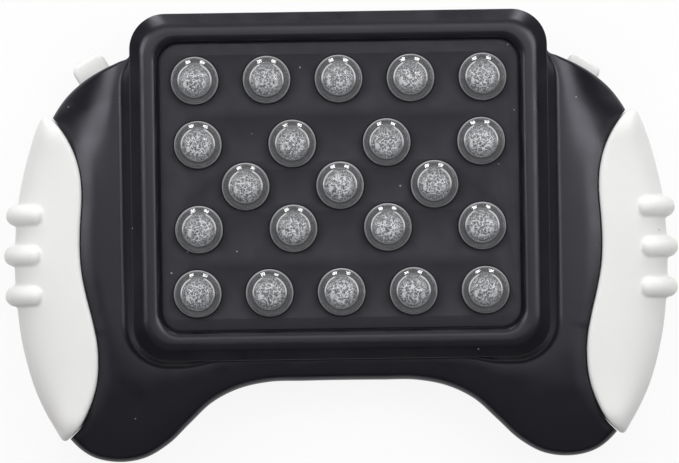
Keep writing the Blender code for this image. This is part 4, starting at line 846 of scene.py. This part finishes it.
def shoulder_button(name, side, protrusion):
    half_width, corner, count = BUTTON_HALF_WIDTH, 0.0024, 20
    loop = [(-half_width, -0.0044), (half_width, -0.0044)]
    for step in range(count + 1):
        angle = math.pi * step / count
        x = math.copysign(half_width - corner, count / 2 - step) if step != count / 2 else 0
        loop.append((x + corner * math.cos(angle), protrusion - corner + corner * math.sin(angle)))
    button = plate(name, [loop], BUTTON_LOW, BUTTON_HIGH, 0.0011)
    button.data.transform(shoulder_place(side))
    back = -FLANGE_BACK - FLANGE_THICKNESS
    join(button, shoulder_box(f"{name}_flange", side, 0.007, back, -FLANGE_BACK, 0.01, 0.0154))
    return reshade(button, 40)


def screw(name, length, head, place):
    """A pan-head screw with a cross recess, its shank threaded by turned ridges."""
    shank, rim = 0.00115, 0.0024
    profile = [(0, length), (0.0004, length)]
    pitch = 0.0008
    ridges = int((length - 0.0016) / pitch)
    for i in range(ridges):
        z = length - 0.0008 - i * pitch
        profile += [(shank * 0.78, z), (shank, z - pitch / 2)]
    profile += [(shank * 0.78, 0.0006), (shank, 0), (rim, 0), (rim, -head * 0.45)]
    for angle in quarter(5, 1):
        profile.append((rim - 0.0011 * (1 - math.cos(angle)), -head * (0.45 + 0.55 * math.sin(angle))))
    profile.append((0, -head))
    made = turned(name, profile, 40)
    arms = [("arm_x", 0.0013, 0.0003), ("arm_y", 0.0003, 0.0013)]
    cut(made, *[box(arm, (-x, -y, -head - 0.0002), (x, y, -head * 0.35)) for arm, x, y in arms])
    made.data.transform(Matrix.Translation(place))
    return reshade(made, 40)


# Materials

class Nodes:
    """A material and its node tree, built by short calls."""

    def __init__(self, name):
        self.material = bpy.data.materials.new(name)
        self.material.use_nodes = True
        self.tree = self.material.node_tree
        self.shader = self.tree.nodes["Principled BSDF"]

    def feed(self, socket, value):
        """Links a socket to another one, or sets its value."""
        if isinstance(value, bpy.types.NodeSocket):
            self.tree.links.new(value, socket)
        else:
            socket.default_value = (*value, 1) if socket.type == "RGBA" and len(value) == 3 else value
        return self

    def node(self, kind, settings=None, **inputs):
        """A new node. An input is given by its name, or as i0, i1 and so on by its place."""
        made = self.tree.nodes.new("ShaderNode" + kind)
        for key, value in (settings or {}).items():
            setattr(made, key, value)
        for key, value in inputs.items():
            self.feed(made.inputs[int(key[1:]) if key[0] == "i" and key[1:].isdigit() else key], value)
        return made

    def math(self, operation, a, b=0.0, c=0.5):
        return self.node("Math", {"operation": operation}, i0=a, i1=b, i2=c).outputs[0]


class Shader(Nodes):
    """A Principled material whose colour, roughness and bump come from small node chains."""

    def __init__(self, name, roughness=0.5, metallic=0.0):
        super().__init__(name)
        self.set(Metallic=metallic, Roughness=roughness)
        self.coords = self.node("TexCoord").outputs["Object"]

    def set(self, **values):
        for key, value in values.items():
            self.feed(self.shader.inputs[key.replace("_", " ")], value)
        return self

    def noise(self, scale, detail=2.0, stretch=None, roughness=0.5, where=None, output="Fac"):
        where = self.coords if where is None else where
        if stretch:
            where = self.node("Mapping", Vector=where, Scale=stretch).outputs[0]
        made = self.node("TexNoise", Vector=where, Scale=scale, Detail=detail, Roughness=roughness)
        return made.outputs[output]

    def own_place(self):
        """The surface's place, moved by a random amount that is the piece's own."""
        if not hasattr(self, "_own"):
            own = self.node("ObjectInfo").outputs["Random"]
            self._own = self.node("VectorMath", {"operation": "ADD"}, i0=self.coords, i1=own).outputs[0]
        return self._own

    def own_noise(self, scale, detail=2.0):
        return self.noise(scale, detail, roughness=0.65, where=self.own_place())

    def warp(self, amount, scale=1200):
        """The surface's place, moved about a little by a fine noise."""
        place = self.own_place()
        noise = self.noise(scale, where=place, output="Color")
        made = self.node("VectorMath", {"operation": "MULTIPLY_ADD"}, i0=noise, i1=(amount,) * 3, i2=place)
        return made.outputs[0]

    def ramp(self, fac, *stops):
        made = self.node("ValToRGB", Fac=fac)
        ramp = made.color_ramp
        while len(ramp.elements) < len(stops):
            ramp.elements.new(0.5)
        for element, (position, colour) in zip(ramp.elements, stops):
            element.position = position
            element.color = (*colour, 1)
        return made.outputs["Color"]

    def grey(self, fac, *stops):
        return self.ramp(fac, *[(position, (value, value, value)) for position, value in stops])

    def cloud(self, fac, low, high):
        """Two colours mixed by a soft noise."""
        return self.ramp(fac, (0.3, low), (0.7, high))

    def mix(self, fac, a, b, blend="MIX"):
        return self.node("Mix", {"data_type": "RGBA", "blend_type": blend}, i0=fac, i6=a, i7=b).outputs[2]

    def axes(self):
        return self.node("SeparateXYZ", Vector=self.coords).outputs

    def length(self, *values):
        return self.math("SQRT", self.math("ADD", *[self.math("MULTIPLY", value, value) for value in values]))

    def from_axis(self):
        """The distance from the piece's own Z axis."""
        return self.length(*self.axes()[:2])

    def colour(self, value):
        return self.feed(self.shader.inputs["Base Color"], value)

    def rough(self, value):
        return self.feed(self.shader.inputs["Roughness"], value)

    def uneven(self, scale, low, high, detail=3):
        """Roughness between two values, by a soft noise."""
        return self.rough(self.grey(self.noise(scale, detail), (0.3, low), (0.7, high)))

    def bump(self, height, strength, distance):
        made = self.node("Bump", Height=height, Strength=strength, Distance=distance)
        return self.feed(self.shader.inputs["Normal"], made.outputs[0])


def dust(shader, scale=900, amount=0.985):
    """Sparse pale specks: the few cells of a fine Voronoi pattern whose random value is highest."""
    cells = shader.node("TexVoronoi", {"feature": "F1"}, Vector=shader.coords, Scale=scale)
    near = shader.math("LESS_THAN", cells.outputs["Distance"], 0.16)
    value = shader.node("SeparateColor", Color=cells.outputs["Color"]).outputs[0]
    rare = shader.math("GREATER_THAN", value, amount)
    return shader.math("MULTIPLY", near, rare)


def moulded(name, roughness, base, specks, gloss, grain, **settings):
    """Moulded plastic: a cloudy colour with sparse dust, an uneven gloss and a fine grain."""
    s = Shader(name, roughness)
    cloud = s.cloud(s.noise(*base[:2]), *base[2:])
    s.colour(s.mix(dust(s, *specks[:2]), cloud, specks[2]))
    s.uneven(*gloss)
    s.bump(s.noise(grain[0]), *grain[1:])
    return s.set(**settings).material


def case_plastic():
    return moulded(
        "case_satin_black", 0.4, (45, 4, (0.0050, 0.0051, 0.0078), (0.0068, 0.0068, 0.0100)),
        (700, 0.992, (0.25, 0.25, 0.27)), (120, 0.27, 0.35), (6500, 0.12, 0.00002), Specular_Tint=VIOLET_GLOSS,
    )


def panel_plastic():
    return moulded(
        "panel_charcoal", 0.55, (60, 4, (0.0076, 0.0077, 0.0108), (0.0102, 0.0101, 0.0134)),
        (620, 0.985, (0.3, 0.3, 0.32)), (200, 0.5, 0.62), (5000, 0.2, 0.00003), Specular_Tint=VIOLET_GLOSS,
    )


def grip_plastic():
    return moulded(
        "grip_white", 0.38, (30, 3, (0.81, 0.805, 0.79), (0.85, 0.845, 0.835)),
        (500, 0.993, (0.45, 0.44, 0.42)), (90, 0.48, 0.56), (3000, 0.08, 0.00002), Specular_IOR_Level=0.35,
    )


def clear_plastic():
    """Clear plastic seen as its gloss: thin where it is seen square on, and full at its edge. Its colour
    carries a painted highlight: a thin pale ring at its rim.
    """
    s = Shader("bubble_clear", 0.07)
    # Painted highlight: the colour turns pale in a thin ring at the dome's rim, by distance from the axis.
    out = s.math("MULTIPLY", s.from_axis(), 100)
    s.colour(s.ramp(out, (0.655, (0.34, 0.345, 0.36)), (0.675, (0.80, 0.80, 0.82))))
    s.set(IOR=2.4, Specular_IOR_Level=1.0, Alpha=0.2)
    edge = s.node("LayerWeight", Blend=0.5).outputs["Facing"]
    crown = ((0.0, 0.04), (0.15, 0.05), (0.178, 0.2), (0.265, 0.2), (0.295, 0.1))
    s.set(Alpha=s.grey(edge, *crown, (0.38, 0.12), (0.48, 0.8), (0.97, 0.95)))
    s.rough(s.grey(s.noise(300, 2), (0.35, 0.03), (0.65, 0.06)))
    return s.material


def core_plastic():
    """The lit face: pale grey, crazed, with bright broken lines in its middle, two painted spots of light
    below its middle, and a polished bead round it whose upper sides carry a painted highlight.
    """
    s = Shader("bubble_lit_face", 0.35)
    x, y = s.axes()[:2]
    aside = s.math("ABSOLUTE", x)
    outward = s.math("MULTIPLY", s.from_axis(), 180)
    grain = s.own_noise(2300, 4)
    middling, pale = (0.5, (0.085, 0.088, 0.10)), (0.62, (0.46, 0.47, 0.51))
    base = s.ramp(grain, (0.38, (0.02, 0.023, 0.032)), middling, pale)
    cracks = s.node("TexVoronoi", {"feature": "DISTANCE_TO_EDGE"}, Vector=s.warp(0.0008), Scale=950)
    line = s.math("LESS_THAN", cracks.outputs["Distance"], 0.1)
    broken = s.math("GREATER_THAN", s.own_noise(1100, 2), 0.46)
    middle = s.grey(outward, (0.0, 0.9), (0.5, 0.8), (0.72, 0.0))
    bright = s.math("MULTIPLY", s.math("MULTIPLY", line, broken), middle)
    crazed = s.mix(bright, base, (0.85, 0.85, 0.87))
    # Painted light: two pale spots below the middle of the face, stronger on the left, standing for light
    # gathered through the dome.
    painted_spot_distance = s.length(s.math("MULTIPLY_ADD", aside, 1500, -4.3), s.math("MULTIPLY_ADD", y, 850, 0.95))
    painted_spot_side_weight = s.grey(s.math("MULTIPLY_ADD", x, 200, 0.5), (0.4, 0.8), (0.6, 0.4))
    painted_light_spots = s.math("MULTIPLY", s.grey(painted_spot_distance, (0.55, 1.0), (1.0, 0.0)), painted_spot_side_weight)
    face = s.mix(painted_light_spots, crazed, (0.72, 0.72, 0.74))
    bead = s.grey(outward, (0.82, 0.0), (0.845, 1.0), (0.89, 1.0), (0.915, 0.0))
    # Painted highlight: the bead's colour is pale in its upper left and right arcs, and grey below and at its
    # top.
    painted_arc_upper = s.grey(s.math("MULTIPLY_ADD", y, 100), (0.35, 0.0), (0.55, 1.0))
    painted_arc_beside = s.grey(s.math("MULTIPLY", aside, 200), (0.34, 0.0), (0.46, 1.0))
    s.colour(s.mix(bead, face, s.grey(s.math("MULTIPLY", painted_arc_upper, painted_arc_beside), (0.0, 0.20), (1.0, 0.9))))
    s.set(IOR=1.75)
    s.rough(s.grey(bead, (0.0, 0.35), (1.0, 0.12)))
    s.bump(s.math("MULTIPLY", grain, s.grey(outward, (0.78, 1.0), (0.82, 0.0))), 0.3, 0.0002)
    return s.material


def collar_plastic():
    """Frosted plastic, with painted light: lighter towards the player's side, where light from the back would
    fall in.
    """
    s = Shader("frosted_collar", 0.4)
    frost = s.cloud(s.noise(900, 4), (0.085, 0.086, 0.094), (0.115, 0.116, 0.124))
    # Painted light: the colour is darkened by half towards the back, so the player's side looks lit.
    painted_back_light = s.grey(s.math("MULTIPLY_ADD", s.axes()[1], 80), (0.0, 1.0), (1.0, 0.5))
    s.colour(s.mix(1.0, frost, painted_back_light, "MULTIPLY"))
    s.uneven(1800, 0.34, 0.46)
    s.bump(s.noise(7200, 2), 0.3, 0.00003)
    return s.material


def simple(name, low, high, roughness, scale, metallic=0.0):
    s = Shader(name, roughness, metallic)
    s.colour(s.cloud(s.noise(scale, 4), low, high))
    s.uneven(scale * 2, roughness * 0.85, min(roughness * 1.15, 1))
    s.bump(s.noise(scale * 8), 0.1, 0.00003)
    return s.material


def cell_jacket():
    """A plain two-colour jacket: dark over most of its length, with a copper-coloured end."""
    s = Shader("cell_jacket", 0.3, 0.6)
    band = s.math("GREATER_THAN", s.axes()[0], 0.0145)
    grain = s.noise(500, 3, (1, 6, 6))
    dark = s.cloud(grain, (0.02, 0.02, 0.022), (0.035, 0.035, 0.038))
    s.colour(s.mix(band, dark, s.cloud(grain, (0.48, 0.24, 0.10), (0.58, 0.31, 0.14))))
    s.uneven(90, 0.24, 0.36)
    s.bump(grain, 0.06, 0.00002)
    return s.material


def board_green():
    s = Shader("board_green", 0.4)
    fibre = s.noise(1800, 2, (1, 0.25, 1))
    green = s.cloud(fibre, (0.012, 0.09, 0.03), (0.02, 0.14, 0.05))
    cells = s.node("TexVoronoi", {"distance": "CHEBYCHEV"}, Vector=s.coords, Scale=180)
    track = s.math("LESS_THAN", s.math("PINGPONG", cells.outputs["Distance"], 0.18), 0.03)
    s.colour(s.mix(track, green, (0.04, 0.22, 0.08)))
    s.bump(fibre, 0.1, 0.00004)
    return s.material


def finish(obj, material, slot, body, *nodes):
    obj.data.materials.clear()
    obj.data.materials.append(material)
    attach(obj, body)
    if nodes:
        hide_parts(*nodes)
    return obj


def dress(material, *names):
    for name in names:
        for slot in NODES[name].material_slots:
            slot.material = material


# Pieces that replace the solids

def place_case(black, panel, white):
    finish(front_shell(), black, "case_black", "case", "front_shell")
    finish(rear_shell(), black, "case_black", "case", "rear_shell")
    finish(grip("left_grip_skin", -1), white, "grip_white", "case", "left_grip")
    finish(grip("right_grip_skin", 1), white, "grip_white", "case", "right_grip")
    finish(face_panel(), panel, "panel_charcoal", "case", "face_panel")
    for name, side, protrusion in (("left", -1, 0.0052), ("right", 1, 0.003)):
        button = shoulder_button(f"{name}_shoulder_cap", side, protrusion)
        finish(button, white, "grip_white", f"{name}_shoulder_button", f"{name}_shoulder_button")


def place_bubbles(clear, lit, frosted):
    parts = (
        (bubble_dome(), "dome", clear, "bubble_clear"), (bubble_core(), "face", lit, "well_milky"),
        (bubble_collar(), "collar", frosted, "well_milky"),
    )
    for i, (x, y) in enumerate(bubble_places()):
        name = f"bubble_{i + 1:02d}"
        for source, part, material, slot in parts:
            piece = link(bpy.data.objects.new(f"{name}_{part}", source.data))
            piece.location = (x, y, 0)
            finish(piece, material, slot, name, *([name] if part == "dome" else []))
    for source, *_ in parts:
        bpy.data.objects.remove(source)


def place_screws(steel):
    for i, place in enumerate(case_screw_places()):
        piece = screw(f"case_screw_{i + 1}_fine", 0.0111, 0.0016, (*place, 0.0097))
        finish(piece, steel, "screw_steel", "case", f"case_screw_{i + 1}")
    piece = screw("battery_door_screw_fine", 0.0048, 0.0008, (0, LUG_Y, 0.0013))
    finish(piece, steel, "screw_steel", "battery_door", "battery_door_screw")


def battery_door():
    """The bay's cover, with its lug, its two hooks and the grooves for a fingertip."""
    low, high = 0.0004, DOOR_TOP
    door = plate("battery_door_skin", [door_loop(0)], low, high, 0.00015)
    neck = ((-LUG_RADIUS, DOOR_HIGH - OVERRUN, low + 0.0001), (LUG_RADIUS, LUG_Y, high - 0.00005))
    additions = [box("door_neck", *neck), upright("door_lug", 0, LUG_Y, low, high, LUG_RADIUS)]
    for side in (-1, 1):
        left, right, root = side * 0.015 - 0.004, side * 0.015 + 0.004, DOOR_LOW + 0.0017
        additions.append(box(f"hook_{side}", (left, DOOR_LOW - 0.0033, 0.0026), (right, root, 0.004)))
        additions.append(box(f"root_{side}", (left, DOOR_LOW + GAP, 0.0019), (right, root, 0.0039)))
    join(door, *additions)
    holes = [
        upright("door_hole", 0, LUG_Y, -OVERRUN, OVERRUN, SCREW_HOLE),
        upright("door_counterbore", 0, LUG_Y, -OVERRUN, 0.0016, SCREW_WELL),
    ]
    for i in range(4):
        y = DOOR_LOW + (DOOR_HIGH - DOOR_LOW) * 3 / 4 + i * 0.003
        loop = [(a, y + b) for a, b in slot_loop(0.009, 0.0005)]
        holes.append(plate(f"door_groove_{i}", [loop], -OVERRUN, 0.0008))
    cut(door, *holes)
    return reshade(door, 35)


def cell(name, side, y):
    """An AA cell: a jacket crimped over both ends, a dark ring and the bare nub and foot."""
    half = CELL_HALF
    jacket = [(0.0058, half - 0.0011), (0.0061, half - 0.00095), (0.0066, half - 0.0012)]
    jacket += [(0.00705, half - 0.0017), (0.00725, half - 0.0024), (0.00725, 0.0024 - half)]
    jacket += [(0.00705, 0.0008 - half), (0.0066, 0.0001 - half), (0.0062, 0.00005 - half)]
    jacket += [(0.0059, 0.0003 - half), (0.0055, 0.0006 - half), (0.0055, half - 0.0016)]
    jacket.append(jacket[0])
    metal = [(0, half), (0.0022, half), (0.0026, half - 0.0003), (0.0027, half - 0.0011)]
    metal += [(0.0034, half - 0.0012), (0.0034, half - 0.0018), (0.0054, half - 0.0018)]
    metal += [(0.0054, 0.0004 - half), (0.0050, 0.0001 - half), (0.0036, 0.0001 - half)]
    metal += [(0.0034, 0.0003 - half), (0, 0.0003 - half)]
    ring = [(0.00345, half - 0.0013), (0.0057, half - 0.0013), (0.0057, half - 0.00175)]
    ring += [(0.00345, half - 0.00175), ring[0]]
    turn = Matrix.Rotation(side * math.pi / 2, 4, "Y")
    place = Matrix.Translation((side * (CONTACT_FACE - GAP - half), y, CELL_HEIGHT)) @ turn
    made = []
    for part, profile in (("jacket", jacket), ("can", metal), ("ring", ring)):
        piece = turned(f"{name}_{part}", profile, 72)
        piece.data.transform(place)
        made.append(piece)
    return made


def coil(name, side, y, face):
    """A cone of spring wire from a contact plate to a cell's flat end."""
    wire, turns, count = 0.0004, 3, 96
    wide, narrow = 0.0042, 0.0028
    near, end = face - 2 * wire, CELL_HALF - (CONTACT_FACE - GAP - CELL_HALF) + GAP + wire
    places = [(side * (face + CONTACT_THICKNESS / 2), y + wide, CELL_HEIGHT)]
    for i in range(count + 1):
        part = i / count
        angle = 2 * math.pi * turns * part
        radius = wide * (1 - part) + narrow * part
        x = side * (near * (1 - part) + end * part)
        places.append((x, y + radius * math.cos(angle), CELL_HEIGHT + radius * math.sin(angle)))
    return reshade(tube(name, places, wire, 3), 60)


def place_power(jacket, steel, insulator, contact_steel):
    for i, side in enumerate((1, -1, 1)):
        name = f"battery_{i + 1}"
        pieces = cell(f"{name}_fine", side, CELL_Y + (i - 1) * CELL_PITCH)
        for piece, material, nodes in zip(pieces, (jacket, steel, insulator), ([name], [], [])):
            finish(piece, material, "cell_jacket", "case", *nodes)
    face = BAY_HALF - GAP - CONTACT_THICKNESS
    first, middle, last = CELL_Y - CELL_PITCH, CELL_Y, CELL_Y + CELL_PITCH
    rows = (
        ("battery_contact_positive", 1, first, first, None, first),
        ("battery_contact_negative", -1, last, last, last, last),
        ("battery_bridge_1", -1, first, middle, first, None),
        ("battery_bridge_2", 1, middle, last, middle, None),
    )
    for name, side, low, high, sprung, tail in rows:
        left, right = sorted((side * face, side * (face + CONTACT_THICKNESS)))
        made = box(f"{name}_fine", (left, low - 0.0052, 0.004), (right, high + 0.0052, 0.0172))
        bevel = made.modifiers.new("edge", "BEVEL")
        bevel.width = 0.0001
        bevel.segments = 2
        settled(made)
        if tail is not None:
            join(made, box("tail", (left, tail - 0.001, 0.01025), (right, tail + 0.001, 0.0189)))
        finish(made, contact_steel, "contact_steel", "case", name)
        if sprung is not None:
            finish(coil(f"{name}_spring", side, sprung, face), contact_steel, "contact_steel", "case")


# Stage

def lamp(name, location, target, width, depth, power):
    data = bpy.data.lights.new(name, "AREA")
    data.shape = "RECTANGLE"
    data.size, data.size_y = width, depth
    data.energy = power
    obj = link(bpy.data.objects.new(name, data))
    obj.location = location
    obj.rotation_euler = (Vector(target) - Vector(location)).to_track_quat("-Z", "Y").to_euler()
    return obj


def stage():
    """A pale floor whose rim curves up all round, white where a camera, a gloss or a glass sees it."""
    flat, rise = 3.0, 1.1
    profile = [(radius, 0.0) for radius in (0.0, 0.4, 1.2, flat)]
    for step in range(1, 9):
        angle = math.radians(48) * step / 8
        profile.append((flat + rise * math.sin(angle), rise * (1 - math.cos(angle))))
    floor = turned("floor", profile, 64, 0)
    floor.location.z = -0.0002
    s = Nodes("pale_floor")
    s.tree.nodes.remove(s.shader)
    rays = s.node("LightPath").outputs
    seen = s.math("MAXIMUM", rays["Is Camera Ray"], rays["Is Glossy Ray"])
    seen = s.math("MAXIMUM", seen, rays["Is Transmission Ray"])
    diffuse = s.node("BsdfDiffuse", Color=(0.88, 0.88, 0.88)).outputs[0]
    glow = s.node("Emission", Color=(1, 1, 1)).outputs[0]
    mixed = s.node("MixShader", i0=s.math("MULTIPLY", seen, 0.9), i1=diffuse, i2=glow).outputs[0]
    s.feed(s.tree.nodes["Material Output"].inputs["Surface"], mixed)
    floor.data.materials.append(s.material)


def beam(name, azimuth, off_axis, wide, tall, radiance, distance=1.3):
    """A soft lamp seen from the object in this direction, with its angular size and its brightness."""
    azimuth, off_axis = math.radians(azimuth), math.radians(off_axis)
    aside = math.sin(off_axis)
    way = Vector((math.cos(azimuth) * aside, math.sin(azimuth) * aside, math.cos(off_axis)))
    width, depth = (2 * distance * math.tan(math.radians(angle) / 2) for angle in (wide, tall))
    aim = Vector((0, 0.01, 0.025))
    power = radiance * math.pi * width * depth
    lamp(name, aim + way * distance, aim, width, depth, power).visible_camera = False


def light():
    world = bpy.data.worlds.new("studio")
    bpy.context.scene.world = world
    world.use_nodes = True
    background = world.node_tree.nodes["Background"]
    background.inputs["Color"].default_value = (0.97, 0.98, 1.0, 1)
    background.inputs["Strength"].default_value = 0.08
    beam("key_left", 160, 42, 26, 26, 4.9)
    beam("key_right", 20, 38, 26, 26, 5.2)
    beam("overhead", 82, 16, 44, 33, 1.9)
    beam("back_strip", 90, 55, 50, 34, 0.6)
    beam("front_fill", 270, 36, 60, 34, 0.2)
    beam("back_window_left", 110.5, 77, 13, 14, 12.5)
    beam("back_window_right", 69.5, 77, 13, 14, 12.5)


def camera():
    """Looks straight down from two metres, with the photograph's small shift and turn."""
    distance, sensor, view_width = 2.0, 36, 0.2009
    data = bpy.data.cameras.new("camera")
    data.sensor_width = sensor
    data.lens = sensor * distance / view_width
    obj = link(bpy.data.objects.new("camera", data))
    obj.location = (-0.00037, 0.00122, distance + 0.02)
    obj.rotation_euler = (0, 0, math.radians(-0.85))
    data.clip_end = 50
    bpy.context.scene.camera = obj


def main():
    black, panel, white = case_plastic(), panel_plastic(), grip_plastic()
    milky = simple("milky_plate", (0.62, 0.62, 0.61), (0.74, 0.74, 0.73), 0.5, 60)
    steel = simple("screw_steel", (0.46, 0.46, 0.47), (0.60, 0.60, 0.61), 0.3, 400, 1.0)
    jacket = cell_jacket()
    contact_steel = simple("contact_steel", (0.55, 0.54, 0.50), (0.68, 0.67, 0.63), 0.28, 300, 1.0)
    place_case(black, panel, white)
    place_bubbles(clear_plastic(), core_plastic(), collar_plastic())
    place_screws(steel)
    finish(battery_door(), black, "case_black", "battery_door", "battery_door")
    insulator = simple("insulator_white", (0.55, 0.55, 0.53), (0.7, 0.7, 0.68), 0.6, 300)
    place_power(jacket, steel, insulator, contact_steel)
    dress(milky, "light_well_plate")
    dress(board_green(), "circuit_board")
    dress(steel, *[f"{kind}_screw_{i + 1}" for kind in ("board", "grip") for i in range(4)])
    switch = simple("switch_metal", (0.40, 0.40, 0.41), (0.58, 0.58, 0.58), 0.35, 350, 0.9)
    dress(switch, "left_shoulder_switch", "right_shoulder_switch")
    dress(simple("speaker_metal", (0.30, 0.30, 0.31), (0.45, 0.45, 0.46), 0.4, 250, 0.8), "speaker")
    dress(simple("lead_red", (0.42, 0.02, 0.02), (0.6, 0.04, 0.03), 0.5, 800), "speaker_lead_red")
    dress(simple("lead_black", (0.018, 0.018, 0.02), (0.035, 0.035, 0.04), 0.5, 800), "speaker_lead_black")
    stage()
    light()
    camera()
    bpy.context.scene.view_settings.view_transform = "Standard"


main()
